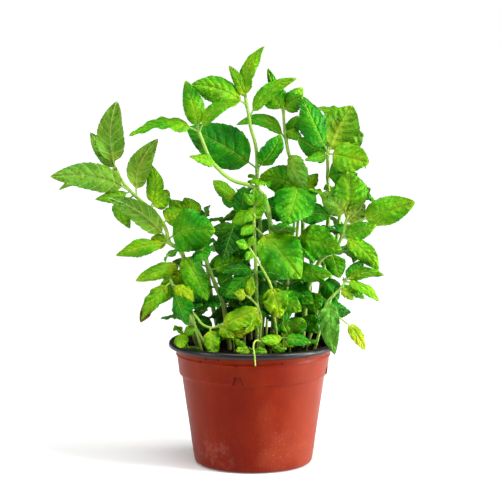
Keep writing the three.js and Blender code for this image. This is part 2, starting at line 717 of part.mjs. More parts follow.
    leaves: [[1.8, [-12, -5, 2], 8, "cu", 0.1], [1.8, [11, -5, 1], 8, "cu", 0.1]],
    pairs: [],
  },
  {
    name: "runner_front",
    foot: [11, -42],
    route: [[8, -46, 97], [4, -51, 103], [1, -58, 103.5], [0, -65, 100.5], [1, -68.5, 94], [1.5, -68.8, 87]],
    thick: 0.9, thin: 0.7,
    leaves: [],
    pairs: [],
  },
];

// A pair's leaves stand opposite each other, a little uneven, and look up, outwards and away from the axis.
function pairLeaves(stem, index) {
  const made = [];
  stem.pairs.forEach(([k, angle, length, rise], p) => {
    const random = draw(7919 * (index + 1) + 104729 * (p + 1));
    for (const turn of [0, 180]) {
      const heading = degrees(angle + turn + 24 * (random() - 0.5));
      const climb = degrees(rise + 20 * (random() - 0.5));
      const size = length * (0.86 + 0.28 * random());
      const outward = vec(Math.cos(heading), Math.sin(heading), 0);
      const reach = outward.clone().multiplyScalar(size * Math.cos(climb));
      reach.z = size * Math.sin(climb);
      const away = routePoint(stem.route, k).setZ(0).normalize();
      const face = vec(0, 0, 0.8).addScaledVector(outward, 0.45).addScaledVector(away, 0.75).normalize();
      made.push({ k, reach, face, width: size * (0.5 + 0.1 * random()), arch: 0.06 + 0.1 * random() });
    }
  });
  return made;
}

// Turns tried in order until a leaf hangs clear of its neighbours: about the vertical, then up or down.
const TURNS = [
  [0, 0], [0, 7], [0, -7], [8, 0], [-8, 0], [8, 8], [-8, 8], [8, -8], [-8, -8], [0, 15], [0, -15],
  [16, 0], [-16, 0], [16, 12], [-16, 12], [16, -12], [-16, -12], [0, 24], [0, -24], [26, 0], [-26, 0],
  [26, 18], [-26, 18], [26, -18], [-26, -18], [38, 8], [-38, 8], [38, -16], [-38, -16], [52, 14], [-52, 14],
];

function turned(leaf, [yaw, pitch]) {
  const quaternion = new THREE.Quaternion().setFromAxisAngle(vec(0, 0, 1), degrees(yaw));
  const level = vec(leaf.reach.y, -leaf.reach.x, 0);
  if (level.length() > 1e-3) {
    level.normalize();
    quaternion.multiply(new THREE.Quaternion().setFromAxisAngle(level, degrees(pitch)));
  }
  const reach = leaf.reach.clone().applyQuaternion(quaternion);
  const along = reach.clone().normalize();
  const normal = leaf.face.clone().applyQuaternion(quaternion);
  normal.addScaledVector(along, -normal.dot(along)).normalize();
  return { ...leaf, reach, normal };
}

function boxesMeet(a, b) {
  return [0, 1, 2].every((i) => a.min[i] < b.max[i] && b.min[i] < a.max[i]);
}

function isClear(solid, owner, obstacles) {
  const box = solid.boundingBox();
  return obstacles.every((other) => {
    if (other.owner === owner || !boxesMeet(box, other.box)) {
      return true;
    }
    return solid.intersect(other.solid).volume() < 1e-4;
  });
}

// Grows the stems and hangs each leaf in the first turn that clears its neighbours. A stem's turns list says
// which turn each leaf took, or -1 for a leaf that found no room.
function plant(potSolid) {
  const stems = STEMS.map((stem, index) => {
    const foot = vec(stem.foot[0], stem.foot[1], soilHeight(...stem.foot));
    const root = foot.clone().sub(vec(0, 0, ROOT_DEPTH));
    const route = [root, foot, ...stem.route.map((p) => vec(...p))];
    return { ...stem, index, foot, route };
  });
  const soil = makeSoil(stems.map(({ foot, thick }) => ({ foot, radius: thick })));
  const obstacles = [potSolid, soil].map((solid) => ({ solid, box: solid.boundingBox(), owner: "ground" }));
  for (const stem of stems) {
    stem.solid = makeTube(stem);
    obstacles.push({ solid: stem.solid, box: stem.solid.boundingBox(), owner: stem.name });
  }
  const blades = [];
  const hang = (stem, leaf, number, chosen) => {
    const random = draw(1000 * (stem.index + 1) + number);
    const full = {
      ...leaf,
      base: routePoint(stem.route, leaf.k),
      fold: 0.05 + 0.3 * random(),
      twist: 0.7 * (random() - 0.5),
      sway: leaf.sway ?? 0.12 * (random() - 0.5),
      wave: 0.1 + 0.16 * random(),
      phase: random(),
    };
    const tries = chosen ? TURNS.slice(0, 25) : TURNS;
    for (let i = 0; i < tries.length; i += 1) {
      const placed = turned(full, tries[i]);
      if (!isClear(makeLeaf(placed, CLEARANCE, false), stem.name, obstacles)) {
        continue;
      }
      const blade = makeLeaf(placed, 0, true);
      if (!chosen && !isClear(makeLeaf(placed, 0.3, true), "", blades.filter((b) => b.stem === stem.name))) {
        continue;
      }
      const solid = makeLeaf(placed, 0, false);
      stem.solid = stem.solid.add(solid);
      obstacles.push({ solid, box: solid.boundingBox(), owner: stem.name });
      blades.push({ solid: blade, box: blade.boundingBox(), owner: "blade", stem: stem.name });
      stem.turns.push(i);
      return;
    }
    stem.turns.push(-1);
  };
  for (const stem of stems) {
    stem.turns = [];
    stem.leaves.forEach(([k, reach, width, face, arch, sway, stalk], i) => {
      hang(stem, { k, reach: vec(...reach), width, face: faceVector(face), arch, sway, stalk }, i, true);
    });
  }
  for (const stem of stems) {
    pairLeaves(stem, stem.index).forEach((leaf, i) => {
      hang(stem, leaf, 100 + i, false);
    });
  }
  return { stems, soil };
}

const LEAF_COLOURS = [0x5fae2c, 0x3f9422, 0x7cb932, 0x4aa03a];

const group = new THREE.Group();
group.name = "potted_mint";

function addMesh(name, solid, colour, roughness) {
  const material = new THREE.MeshStandardMaterial({ color: colour, roughness, metalness: 0 });
  const mesh = new THREE.Mesh(geometryFromSolid(solid), material);
  mesh.name = name;
  group.add(mesh);
  return mesh;
}

const potSolid = makePot();
const { stems, soil } = plant(potSolid);
addMesh("pot", potSolid, 0xa33a20, 0.45);
addMesh("soil", soil, 0x1d130c, 1);
for (const stem of stems) {
  const mesh = addMesh(stem.name, stem.solid, LEAF_COLOURS[stem.index % LEAF_COLOURS.length], 0.55);
  mesh.userData.turns = stem.turns;
}

export default group;
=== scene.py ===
"""A potted mint plant: a two-tone nursery pot, dark soil and leafy stems."""

import json
import math

import bpy
import numpy as np
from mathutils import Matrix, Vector
from mathutils.kdtree import KDTree


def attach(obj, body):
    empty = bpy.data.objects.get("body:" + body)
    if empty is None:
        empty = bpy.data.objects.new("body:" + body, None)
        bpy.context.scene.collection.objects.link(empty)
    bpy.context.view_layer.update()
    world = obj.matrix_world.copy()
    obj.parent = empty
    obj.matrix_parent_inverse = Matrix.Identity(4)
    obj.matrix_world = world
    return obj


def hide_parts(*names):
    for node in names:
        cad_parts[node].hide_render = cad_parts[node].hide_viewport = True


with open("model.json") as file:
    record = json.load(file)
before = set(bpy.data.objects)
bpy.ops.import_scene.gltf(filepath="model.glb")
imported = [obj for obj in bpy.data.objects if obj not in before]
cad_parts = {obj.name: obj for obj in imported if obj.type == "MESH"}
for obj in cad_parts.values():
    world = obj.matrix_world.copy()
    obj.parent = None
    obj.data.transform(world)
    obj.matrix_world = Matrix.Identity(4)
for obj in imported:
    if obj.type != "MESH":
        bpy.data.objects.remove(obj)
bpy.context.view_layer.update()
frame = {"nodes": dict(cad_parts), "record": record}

# Counts, shares, degrees and lengths. Lengths are in millimetres until a mesh is made.
MM = 0.001
ROOT_DEPTH = 12.0
RING_STEP = 3.2
STEM_SIDES = 12
STALK_SIDES = 7
JOINT_SWELL = 0.28
PETIOLE_HALF = 0.75
PETIOLE_SHARE = 0.13
SMALL_LEAF = 19.0
LARGE_LEAF = 32.0
VEIN_SWEEP = 0.27
LEAF_GLOW = 0.22
BUD_LENGTH = 4.6
SOIL_LEVEL = 86.5
SOIL_DOME = 3.0
SOIL_RADIUS = 56.1
SOIL_RINGS = 46
SOIL_AROUND = 150
CRUMBS = 620
CRUMB_FIELD = 54.5
POT_RINGS = 144
POT_SHARP_ANGLE = 38
POT_BLACK_FROM = 90
FIRST_NOTCH = -102
DRAIN_HOLES = 5
DRAIN_PLACE = 27
DRAIN_RADIUS = 4
DRAIN_SIDES = 24

# The number of the first leaf in a stem's pairs
FIRST_PAIR = 100

# Stems count as this far from a midrib, so that none is drawn on them
STEM_ACROSS = 4.0

# Small leaves that start below the first height are rounder, and hidden ones above the second are paler than
# the rest, as painted light at the top of the foliage and painted shade inside it
LOW_LEAF = 112
HIGH_LEAF = 185

# How near a leaf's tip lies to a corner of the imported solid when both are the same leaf
MATCH_MM = 0.05

# The camera, as the ellipses of the pot's rim and base place it, and the floor, in metres
CAMERA_PLACE = (-0.0025, -1.8, 0.4)
CAMERA_TILT = 7.451
FOCAL_PIXELS = 2374
PHOTO_PIXELS = 500
SENSOR = 36
FLOOR_HALF = 80
FLOOR_DROP = 0.0003

# Each light's name, place, target, size in metres and watts
LIGHTS = [
    ("key", (1.5, -0.75, 1.45), (0, 0, 0.18), 0.8, 44),
    ("side", (-1.5, -0.6, 0.9), (0, 0, 0.15), 0.5, 10),
    ("top", (-0.2, -0.35, 1.7), (0, 0, 0.2), 0.9, 22),
    ("low", (1.1, -0.1, 0.2), (0, 0, 0.06), 0.5, 17),
]

# The pot's section as radius and height, from the middle of its base up the outside and down the inside
POT_PROFILE = [
    (0, 0), (20, 0), (38, 0), (41.5, 0.05), (43.2, 0.4), (44.6, 1.3), (45.3, 2.6), (45.7, 4.6), (48.0, 20.5),
    (50.4, 37), (52.8, 53.5), (54.6, 66.2), (54.9, 68.2), (55.4, 69.1), (56.4, 69.5), (56.9, 70.1),
    (57.1, 71.4), (57.8, 77.8), (58.45, 83.6), (58.75, 83.9), (59.3, 84.3), (59.4, 84.9), (59.2, 85.4),
    (59.0, 85.8), (59.0, 86.7), (59.6, 87.1), (59.6, 88.6), (59.9, 89.5), (61.6, 89.85), (63.6, 90.2),
    (64.5, 90.7), (64.95, 91.5), (64.95, 92.6), (64.6, 93.8), (63.9, 94.6), (62.9, 94.95), (61.9, 94.9),
    (60.9, 94.4), (60.0, 93.5), (59.3, 92.3), (58.5, 90), (57.8, 87), (56.6, 81), (53.7, 68), (51.2, 50),
    (48.6, 32), (46.0, 14), (44.4, 4.9), (43.6, 3.2), (42.2, 2.1), (40.2, 1.7), (30, 1.6), (0, 1.6),
]

# A stem is its name, foot, thickness at both ends, route, leaves, pairs of leaves and its leaves' tones. A
# leaf is its place on the route, the reach to its tip, its width, the way its face looks, its arch, its bend
# to the side and the share of its reach that is stalk. A pair is its place, compass angle, length and rise.
# A tone is 0 for deep blue-green and 1 for pale yellow.
STEM_KEYS = ("name", "foot", "thick", "thin", "route", "leaves", "pairs", "tones")
LEAF_DEFAULTS = ("c", 0.1, None, None)
STEMS = [
    ("stem_top_arching", (14, -8), 2, 1.3, [
        (16, -10, 130), (14, -10, 175), (9, -10, 205), (-1, -10, 214.5), (-13, -10, 218), (-21.5, -10, 223),
        (-27.5, -10, 229), (-33, -10, 236), (-38, -10, 248), (-41, -10, 256), (-42.5, -10, 262),
    ], [
        (10, (-10, -4, 39), 17, "c", 0.04), (10, (-53, -4, -3), 19, "uc", 0.16, 0.03),
        (9.9, (32, -8, 25), 11, "c", 0.05, -0.16), (7, (-21, -8, 9), 9, "cu", 0.1), (0.7, (12, -8, -14), 15),
        (1.3, (-14, -8, -14), 16),
    ], [(1, 20, 30, -10), (2, 110, 34, -5), (2.6, 200, 30, -20)], [0.42, 0.5, 0.48, 0.55]),
    ("stem_top_middle", (6, 18), 1.9, 1.2, [
        (8, 16, 130), (6, 14, 170), (3, 12, 212), (3, 10, 226), (2, 8, 243), (-2, 6, 258), (-3, 5, 265),
        (-5, 4, 275), (-6, 4, 281),
    ], [
        (4, (-54, 6, 31), 36, "c", 0.05, 0.04), (4, (18, -6, 27), 18, "cr", 0.1),
        (7, (36, -8, 31), 12, "c", 0, -0.13), (8, (-42, -5, 16), 24, "cu", 0.08, 0.06),
        (8.3, (14, -3, 43), 13, "cl", 0.03, -0.15), (8.5, (-13, 0, 27), 9, "c", 0),
        (0.6, (-12, -10, -4), 15), (0.9, (14, -6, -12), 18),
    ], [(1, 100, 34, -10), (2, 40, 36, -5), (3, 95, 30, 0), (2.5, 170, 30, -20)], [
        0.24, 0.34, 0.5, 0.56, 0.6, 0.6,
    ]),
    ("stem_top_right", (30, 14), 1.9, 1.1, [
        (36, 14, 130), (38, 12, 170), (37, 10, 211), (31, 10, 227), (27, 10, 238), (25, 10, 249),
        (23.5, 10, 261), (23, 10, 270), (22, 10, 278),
    ], [
        (3.4, (-11, -33, -33), 35, "cu", 0.06), (3, (-32, 8, 9), 24, "c", 0.06, 0.06),
        (5.2, (13, -13, -31), 17, "cl", 0.08, -0.05), (3, (13, 2, 11), 11, "c", 0.08),
        (6.5, (13, -4, -6), 10, "cu", 0.05), (5.8, (-38, -6, 13), 12, "cu", 0.05, 0.26),
        (5.8, (9, 4, 20), 12, "c", 0.05), (8, (-10, -6, 22), 20, "c", 0.05),
        (8, (15, -5, 12), 16, "cu", 0.1), (8, (15, 12, 17), 14), (8, (-16, 8, 16), 13),
        (9, (-11, 0, 25), 8, "c", 0), (0.8, (12, -14, -12), 18), (1, (-12, -10, -12), 18),
    ], [(1, 80, 34, -15), (2, 160, 34, -10), (2.6, 20, 30, -10)], [
        0.36, 0.5, 0.4, 0.6, 0.5, 0.38, 0.34, 0.36, 0.42, 0.5, 0.6, 0.42,
    ]),
    ("stem_left", (-42, -2), 2.1, 1.4, [
        (-46, -8, 105), (-50, -10, 130), (-52, -13, 155), (-55, -14, 166), (-60, -14, 169.5),
        (-64, -13, 172), (-66, -11, 181), (-71, -10, 190), (-78, -8, 197.5), (-86.5, -6, 204),
        (-93, -5, 210), (-99, -4, 217), (-104, -4, 226),
    ], [
        (13, (1, -6, 53), 22, "b", 0.04, 0.09), (12.9, (-21, 12, 29), 13, "b", 0.05),
        (11, (-60, -14, 13), 22, "c", 0.06, 0.1), (11, (-56, 8, 0), 11, "c", 0.05, 0.2),
        (11, (-27, -8, -5), 10, "cu", 0.05), (10.3, (16, 6, 44), 19, "b", 0.05, 0.13),
        (9, (0, 12, 32), 14, "c", 0.1, 0.1), (9, (14, 12, 12), 15), (7.6, (16, 12, 8), 17, "c", 0.08),
        (6.2, (-45, -12, 34), 18, "b", 0.06, -0.08), (10.6, (-4, 8, -27), 17, "c", 0.08, 0.28),
        (6, (-14, 4, 3), 12, "c", 0.05), (6, (-40, -8, -9), 14, "cu", 0.08, 0.02),
        (6.3, (36, -16, 9), 35, "cl", 0.05, -0.12), (3, (-37, -10, -11), 13, "cu", 0.06, 0.02),
        (3, (-22, -14, -30), 16), (3.9, (20, -12, -36), 20, "cr", 0.08), (3.1, (19, 0, -26), 16, "c", 0.08),
        (1.3, (15, 6, -8), 15),
    ], [(1.6, 100, 26, -5), (4, 80, 24, 10)], [
        0.58, 0.5, 0.44, 0.46, 0.45, 0.62, 0.6, 0.6, 0.55, 0.5, 0.5, 0.55, 0.58, 0.43, 0.62, 0.66, 0.42, 0.6,
    ]),
    ("stem_left_low", (-34, -20), 1.6, 1, [
        (-42, -24, 105), (-52, -24, 124), (-60, -24, 139), (-63, -24, 146),
    ], [
        (3.6, (-23, -8, -30), 13, "cu", 0.08), (3.2, (11, -10, -31), 20, "cl", 0.06),
        (3.2, (23, -8, -2), 13, "uc", 0.1),
    ], [(1.6, 70, 24, 0)], [0.55, 0.22, 0.7]),
    ("shoot_front_left", (-38, -30), 1.1, 0.9, [
        (-43, -34, 108), (-46, -36, 122), (-42, -38, 118), (-38, -38, 113), (-31, -38, 110.5),
        (-26, -38, 112),
    ], [
        (6, (29, -10, 15), 18, "cu", 0.08), (6, (12, -9, -8), 11, "cu", 0.08),
        (5.9, (24, -3, -3), 13, "c", 0.12, 0.1), (4.8, (4, -12, -20), 13, "c", 0.06),
        (2, (-16, 8, 6), 11, "u", 0.1),
    ], [], [0.66, 0.7, 0.76, 0.6, 0.64]),
    ("stem_centre_left", (-18, -8), 2, 1.2, [
        (-20, -10, 106), (-23, -10, 124), (-28, -10, 137), (-33, -10, 150), (-38, -8, 163), (-42, -5, 178),
        (-44, 0, 187), (-45, 2, 192),
    ], [
        (7, (-9, 8, 17), 18, "c", 0.05), (7, (-21, 10, 15), 17, "c", 0.05), (4, (26, 4, 8), 17),
        (1.5, (14, 4, -8), 15), (0.9, (-12, -6, -4), 12), (3.2, (13, 8, 6), 16),
    ], [(5, 60, 30, -15), (3, 140, 30, -15), (2, 20, 28, -20)], [0.55, 0.6, 0.4]),
    ("stem_centre_dark", (-7, 6), 1.6, 1.1, [
        (-9, 6, 120), (-10, 4, 150), (-12, 2, 172), (-12, 2, 190), (-11, 2, 203), (-11, 2, 209),
    ], [
        (5, (-20, -2, 15), 13, "cu", 0.08), (4, (5, -6, 24), 17, "c", 0.05),
        (4, (-9, -14, -35), 22, "cl", 0.05), (3, (2, -14, -27), 13, "c", 0.05),
        (4.7, (-13, 6, 5), 11, "c", 0.05), (5, (10, 12, 8), 14, "u", 0.1), (3.4, (18, 6, 14), 20),
        (3.5, (-21, -4, -2), 14), (2.4, (-20, 4, 10), 18), (1.3, (15, -8, -8), 15), (0.8, (-14, -4, -6), 16),
        (1.6, (14, 4, -4), 18), (2.6, (16, 6, 8), 18),
    ], [(2, 85, 34, -10), (1, 20, 30, -15), (3, 120, 30, 0)], [
        0.5, 0.12, 0.06, 0.14, 0.2, 0.14, 0.08, 0.12, 0.12,
    ]),
    ("stem_centre", (3, -14), 1.7, 1.1, [
        (3, -16, 120), (2, -18, 150), (1, -20, 175), (0.5, -20, 190), (1, -20, 201),
    ], [
        (3.6, (35, -17, -37), 33, "cu", 0.06, -0.02, 0.2), (3.7, (-10, -10, -6), 10, "cu", 0.1),
        (5, (-8, -5, 10), 9), (5, (9, -5, 9), 9), (4.6, (-8, -6, -8), 9), (4.6, (9, -7, 2), 9, "cu", 0.1),
        (5, (0, 2, 13), 8, "c", 0.05), (2, (-22, -8, -16), 15),
    ], [(2, 180, 26, -15), (1, 250, 26, -15)], [0.47, 0.36, 0.48, 0.5, 0.44, 0.46, 0.5, 0.25]),
    ("shoot_centre", (19, -26), 1.2, 0.8, [
        (17, -31, 110), (15, -34, 128), (13, -36, 143), (5, -36, 158), (-3, -34, 171),
    ], [
        (3, (7, -12, -24), 20, "cu", 0.06), (2.6, (22, -2, -14), 18, "c", 0.06),
        (5, (-10, -5, 5), 8, "cu", 0.08), (5, (3, -3, 9), 6, "c", 0.05), (4.8, (-4, -8, -6), 7, "c", 0.05),
    ], [], [0.66, 0.46, 0.36, 0.4, 0.36]),
    ("shoot_front_centre", (5, -36), 1, 0.8, [
        (5, -38, 103), (6, -39, 117), (4, -39, 125), (0, -39, 131), (-5, -39, 135),
    ], [
        (5, (-10, -4, 2), 10, "cu", 0.12), (3, (-10, -8, -17), 11, "c", 0.06),
        (4.4, (1, 3, 17), 8, "c", 0.05),
    ], [], [0.74, 0.66, 0.6]),
    ("stem_right_mid", (22, -2), 1.7, 1.1, [
        (24, -2, 120), (27, -3, 150), (30, -3, 175), (32, -3, 194),
    ], [
        (2, (33, -18, -2), 16, "cu", 0.08), (3, (37, -12, -8), 26, "c", 0.06),
        (4, (26, -8, 3), 17, "cu", 0.06), (3, (-14, -16, -16), 17, "c", 0.08),
        (1.6, (20, -16, -12), 17, "c", 0.08), (4, (8, -10, 14), 18, "c", 0.08),
        (4, (-27, 6, 5), 20, "c", 0.06), (1.3, (-6, -16, -20), 16), (0.7, (12, -12, -8), 15),
    ], [(1.4, 60, 30, -10), (4, 100, 26, 5), (2.6, 80, 32, -10)], [0.42, 0.45, 0.2, 0.3, 0.3, 0.25, 0.16]),
    ("stem_right", (38, 4), 1.9, 1.2, [
        (40, 2, 120), (44, 0, 141), (51, -4, 157), (59.5, -6, 163.5), (64.5, -6, 169), (67.5, -6, 176),
        (70, -6, 185), (72, -5, 192), (73, -4, 199),
    ], [
        (6.8, (53, -8, 20), 23, "c", 0, -0.01, 0.3), (6, (28, -8, -25), 16, "cu", 0.08, -0.06),
        (7, (15, -2, 16), 17, "b", 0.05), (8.6, (17, 6, 16), 12, "b", 0.05),
        (8, (-20, -6, 18), 21, "c", 0.05), (8.6, (-1, -8, 30), 28, "c", 0.06),
        (6, (26, -4, 9), 15, "c", 0.05), (4, (6, -12, -18), 17), (1.6, (6, -14, -16), 17),
        (0.8, (10, -12, -12), 15),
    ], [(1, 10, 30, -10), (3, 100, 30, -10), (2, 310, 28, -20)], [
        0.6, 0.55, 0.66, 0.62, 0.56, 0.5, 0.5, 0.4, 0.35,
    ]),
    ("stem_right_top", (42, 18), 1.9, 1.2, [
        (50, 16, 120), (56, 14, 160), (58, 12, 200), (57, 10, 220), (57, 8, 236), (57, 8, 243),
    ], [
        (5.2, (-20, -8, 44), 23, "cr", 0.05), (5.2, (-18, -12, -4), 10, "cu", 0.05),
        (5, (19, 8, 38), 36, "b", 0.05), (5.2, (31, -14, -6), 27, "cu", 0.06),
        (4, (14, -12, 4), 21, "c", 0.08), (4.8, (-25, -3, 13), 17, "c", 0.06), (0.9, (-12, -12, -12), 18),
        (1.5, (12, -12, -14), 18),
    ], [(1, 60, 32, -10), (2, 150, 34, -10), (3, 60, 30, 0), (2.5, 240, 30, -25)], [
        0.32, 0.4, 0.7, 0.6, 0.36, 0.4,
    ]),
    ("stem_right_back", (42, 27), 1.7, 1.1, [
        (58, 28, 130), (66, 26, 180), (71, 22, 225), (74, 18, 252), (75, 17, 261),
    ], [
        (5, (-30, 6, 10), 13, "uc", 0.1), (4.6, (4, 16, -22), 16, "b", 0.06),
    ], [(1, 30, 34, -10), (2, 100, 36, -5), (3, 60, 30, 0), (2.5, 330, 30, -20)], [0.5, 0.44]),
    ("stem_right_low", (46, -22), 1.3, 1, [
        (51, -23, 108), (53, -24, 120), (57, -24, 129), (64, -22, 136), (68, -20, 140), (69, -18, 143),
    ], [
        (6, (26, -8, -14), 14, "uc", 0.17), (4.6, (18, 2, -9), 9, "uc", 0.12),
        (4.3, (10, -8, -7), 8, "cu", 0.08), (6, (15, 8, 15), 12, "c", 0.05),
        (6, (30, -2, 5), 10, "c", 0.05, -0.14), (2.2, (31, -4, -30), 11, "cr", 0.05, -0.1, 0.5),
        (3.3, (2, -22, -40), 16, "c", 0.12),
    ], [], [0.52, 0.42, 0.6, 0.3, 0.5, 0.8, 0.2]),
    ("stem_back_left", (-26, 26), 1.7, 1.1, [
        (-32, 30, 120), (-36, 32, 150), (-38, 32, 176), (-38, 32, 184),
    ], [
        (0.8, (12, -10, -4), 18), (1.3, (-12, -8, -10), 18), (2, (17, -6, -6), 20),
    ], [(1, 120, 34, 0), (1.9, 40, 34, 5), (3, 130, 30, 15), (4, 60, 14, 40)], []),
    ("stem_back_middle", (-2, 38), 1.7, 1.1, [
        (-3, 44, 125), (-4, 46, 155), (-3, 46, 184), (-3, 46, 192),
    ], [
        (0.8, (16, -14, -6), 20), (1.2, (-18, -10, -8), 20), (1.6, (16, -8, -12), 20),
    ], [(1, 80, 34, 0), (1.9, 0, 36, 5), (3, 95, 32, 10), (4, 20, 14, 40)], []),
    ("stem_back_right", (26, 36), 1.7, 1.1, [
        (30, 44, 130), (34, 48, 165), (36, 50, 200), (36, 50, 208),
    ], [
        (0.8, (-16, -12, -8), 20), (1.2, (14, -12, -12), 20), (1.7, (-15, -8, -8), 20),
    ], [(1, 100, 34, 0), (1.9, 30, 36, 5), (3, 110, 32, 10), (4, 40, 14, 40)], []),
    ("stem_back_low", (10, 50), 1.3, 1, [
        (12, 58, 112), (14, 64, 134), (15, 67, 142),
    ], [], [(1, 90, 28, 0), (2, 10, 28, 5), (3, 90, 16, 30)], []),
    ("stem_side_left_low", (-44, 18), 1.3, 1, [
        (-52, 22, 110), (-58, 24, 132), (-60, 25, 140),
    ], [
        (1, (14, -8, -4), 14),
    ], [(1, 150, 26, 0), (2, 80, 28, 5), (3, 160, 16, 30)], []),
    ("seedling_front", (21, -39), 0.9, 0.7, [
        (22, -42, 96), (23, -43, 104),
    ], [
        (2, (20, -5, -3), 11, "cu", 0.1), (2, (-17, -7, -3), 11, "cu", 0.1), (1, (-9, -6, 4), 9, "cu", 0.05),
        (1, (12, 6, 6), 9, "cu", 0.05),
    ], [], [0.2, 0.5, 0.55, 0.5]),
    ("seedling_right", (28, -18), 0.9, 0.7, [
        (28, -26, 98), (29, -31, 106),
    ], [
        (2, (9, -6, 11), 15, "c", 0.06), (1.4, (-6, 4, 12), 9, "cu", 0.05),
    ], [], [0.4, 0.5]),
    ("seedling_left", (-48, -12), 0.9, 0.7, [
        (-52, -19, 97), (-54, -23, 104),
    ], [
        (2, (1, -10, -11), 12, "cu", 0.1), (1.7, (-6, 6, 7), 8, "u", 0.05), (1.8, (11, -4, 5), 9, "cu", 0.1),
    ], [], [0.56, 0.5, 0.5]),
    ("seedling_rim", (-1, -47), 0.8, 0.7, [
        (-1, -50, 92), (-1, -51, 95),
    ], [
        (1.8, (-12, -5, 2), 8, "cu", 0.1), (1.8, (11, -5, 1), 8, "cu", 0.1),
    ], [], [0.6, 0.55]),
    ("runner_front", (11, -42), 0.9, 0.7, [
        (8, -46, 97), (4, -51, 103), (1, -58, 103.5), (0, -65, 100.5), (1, -68.5, 94), (1.5, -68.8, 87),
    ], [], [], []),
]

# Leaves with a brown or black part, by stem and leaf number: how much of the tip and edge is dead
DEAD = {
    ("stem_left_low", 0): 0.62, ("shoot_front_left", 1): 0.35, ("shoot_front_left", 2): 0.45,
    ("shoot_centre", 0): 0.3, ("shoot_front_centre", 0): 0.5, ("stem_right_low", 6): 0.3,
    ("stem_right_low", 4): 0.2, ("seedling_front", 2): 0.4,
}

# How dull and pale-veined a leaf is on its upper and lower side, where it isn't 0 above and 1 below
FRESH = (0, 1)
DULL = {
    ("stem_left", 0): (0.8, 1), ("stem_left", 1): (0.8, 1), ("stem_left", 2): (1, 1),
    ("stem_left", 3): (0.8, 1), ("stem_left", 5): (0.8, 1), ("stem_right_low", 6): (0.7, 1),
    ("stem_top_right", 2): (0.8, 1), ("stem_right", 4): (0.8, 1), ("stem_right_top", 2): (0, 0.3),
    ("stem_right_top", 3): (0, 0.3),
}

# Sprouts too small for the solids: foot on the soil, top, then the reach, width and tone of each leaflet
SPROUTS = {
    "seedling_front": [
        ((34, -36), (34, -39, 92), [((9, -5, 0.5), 7, 0.3)]),
        ((13, -42), (13, -46, 95), [((12, -3, 2), 9, 0.5)]),
        ((6, -40), (6, -42, 103), [((0.5, -3, -9.5), 6.5, 0.56)]),
    ],
    "seedling_rim": [
        ((-14, -40), (-15, -43, 104), [((11, -4, -8), 10, 0.5), ((-6, -3, 5), 6, 0.55)]),
        ((-27, -42), (-27, -46, 95), [((-7, -4, -1), 6, 0.45)]),
    ],
    "seedling_left": [((-46, -22), (-47, -25, 94), [((-6, -5, -1), 6, 0.3), ((7, -5, -1), 5.5, 0.35)])],
    "seedling_right": [((40, -27), (41, -30, 98), [((8, -5, 2), 7, 0.4)])],
}

# The turns that a leaf may have made to hang clear: yaw and pitch in degrees, in the order of their trial
TURNS = [
    (0, 0), (0, 7), (0, -7), (8, 0), (-8, 0), (8, 8), (-8, 8), (8, -8), (-8, -8), (0, 15), (0, -15), (16, 0),
    (-16, 0), (16, 12), (-16, 12), (16, -12), (-16, -12), (0, 24), (0, -24), (26, 0), (-26, 0), (26, 18),
    (-26, 18), (26, -18), (-26, -18), (38, 8), (-38, 8), (38, -16), (-38, -16), (52, 14), (-52, 14),
]

# Which way a face looks: up, to the camera, back, left or right
FACES = {"u": (0, 0, 1), "c": (0, -1, 0), "b": (0, 1, 0), "l": (-1, 0, 0), "r": (1, 0, 0)}

# For each size of leaf: where its points lie from midrib to edge, its teeth and its side veins
ACROSS = {
    "large": np.array([0, 0.05, 0.167, 0.333, 0.5, 0.667, 0.833, 0.94, 1.0]),
    "middle": np.array([0, 0.06, 0.167, 0.333, 0.5, 0.667, 0.833, 1.0]),
    "small": np.array([0, 0.09, 0.28, 0.52, 0.78, 1.0]),
}
TEETH = {"large": 14, "middle": 10, "small": 6}
VEINS = {"large": 7, "middle": 6, "small": 4}

WORD = 0xFFFFFFFF


def draw(seed):
    """A repeatable stream of numbers from 0 to 1 for one leaf."""
    state = seed & WORD

    def step():
        nonlocal state
        state = (state + 0x6D2B79F5) & WORD
        t = state
        t = ((t ^ (t >> 15)) * (t | 1)) & WORD
        t = (t ^ (t + (((t ^ (t >> 7)) * (t | 61)) & WORD))) & WORD
        return (t ^ (t >> 14)) / (WORD + 1)

    return step


def unit(v):
    return v / max(np.linalg.norm(v), 1e-12)


def rows(v):
    """Every row of the array at length 1."""
    return v / np.maximum(np.linalg.norm(v, axis=1, keepdims=True), 1e-12)


def beat(turns):
    """A sine wave that repeats at every whole number."""
    return np.sin(2 * math.pi * turns)


def face_vector(letters):
    """The way a leaf's face looks: its first letter in full and the others by half."""
    first, *others = (np.array(FACES[letter], float) for letter in letters)
    return unit(first + sum(0.55 * other for other in others))


def soil_height(x, y):
    dome = SOIL_DOME * (1 - (x * x + y * y) / 56**2)
    lumps = 0.7 * np.sin(x * 0.31 + 1.1) * np.cos(y * 0.27 - 0.6) + 0.4 * np.sin(x * 0.13 - y * 0.41)
    return SOIL_LEVEL + dome + lumps


def route_point(route, k):
    """A smooth curve through the route's points, where k counts them from the foot."""
    last = len(route) - 2
    i = min(max(math.floor(k), 0), last - 1) + 1
    t = k - (i - 1)
    p0, p1, p2 = route[i - 1], route[i], route[i + 1]
    p3 = route[i + 2] if i + 2 < len(route) else 2 * p2 - p1
    return 0.5 * (
        2 * p1 + (p2 - p0) * t + (2 * p0 - 5 * p1 + 4 * p2 - p3) * t * t + (3 * p1 - p0 - 3 * p2 + p3) * t**3
    )


def listed_leaves(stem):
    """The leaves that the table places one by one."""
    made = []
    for k, reach, width, *rest in stem["leaves"]:
        face, arch, sway, stalk = (*rest, *LEAF_DEFAULTS[len(rest):])
        made.append({
            "k": k, "reach": np.array(reach, float), "face": face_vector(face), "width": width, "arch": arch,
            "sway": sway, "stalk": stalk,
        })
    return made


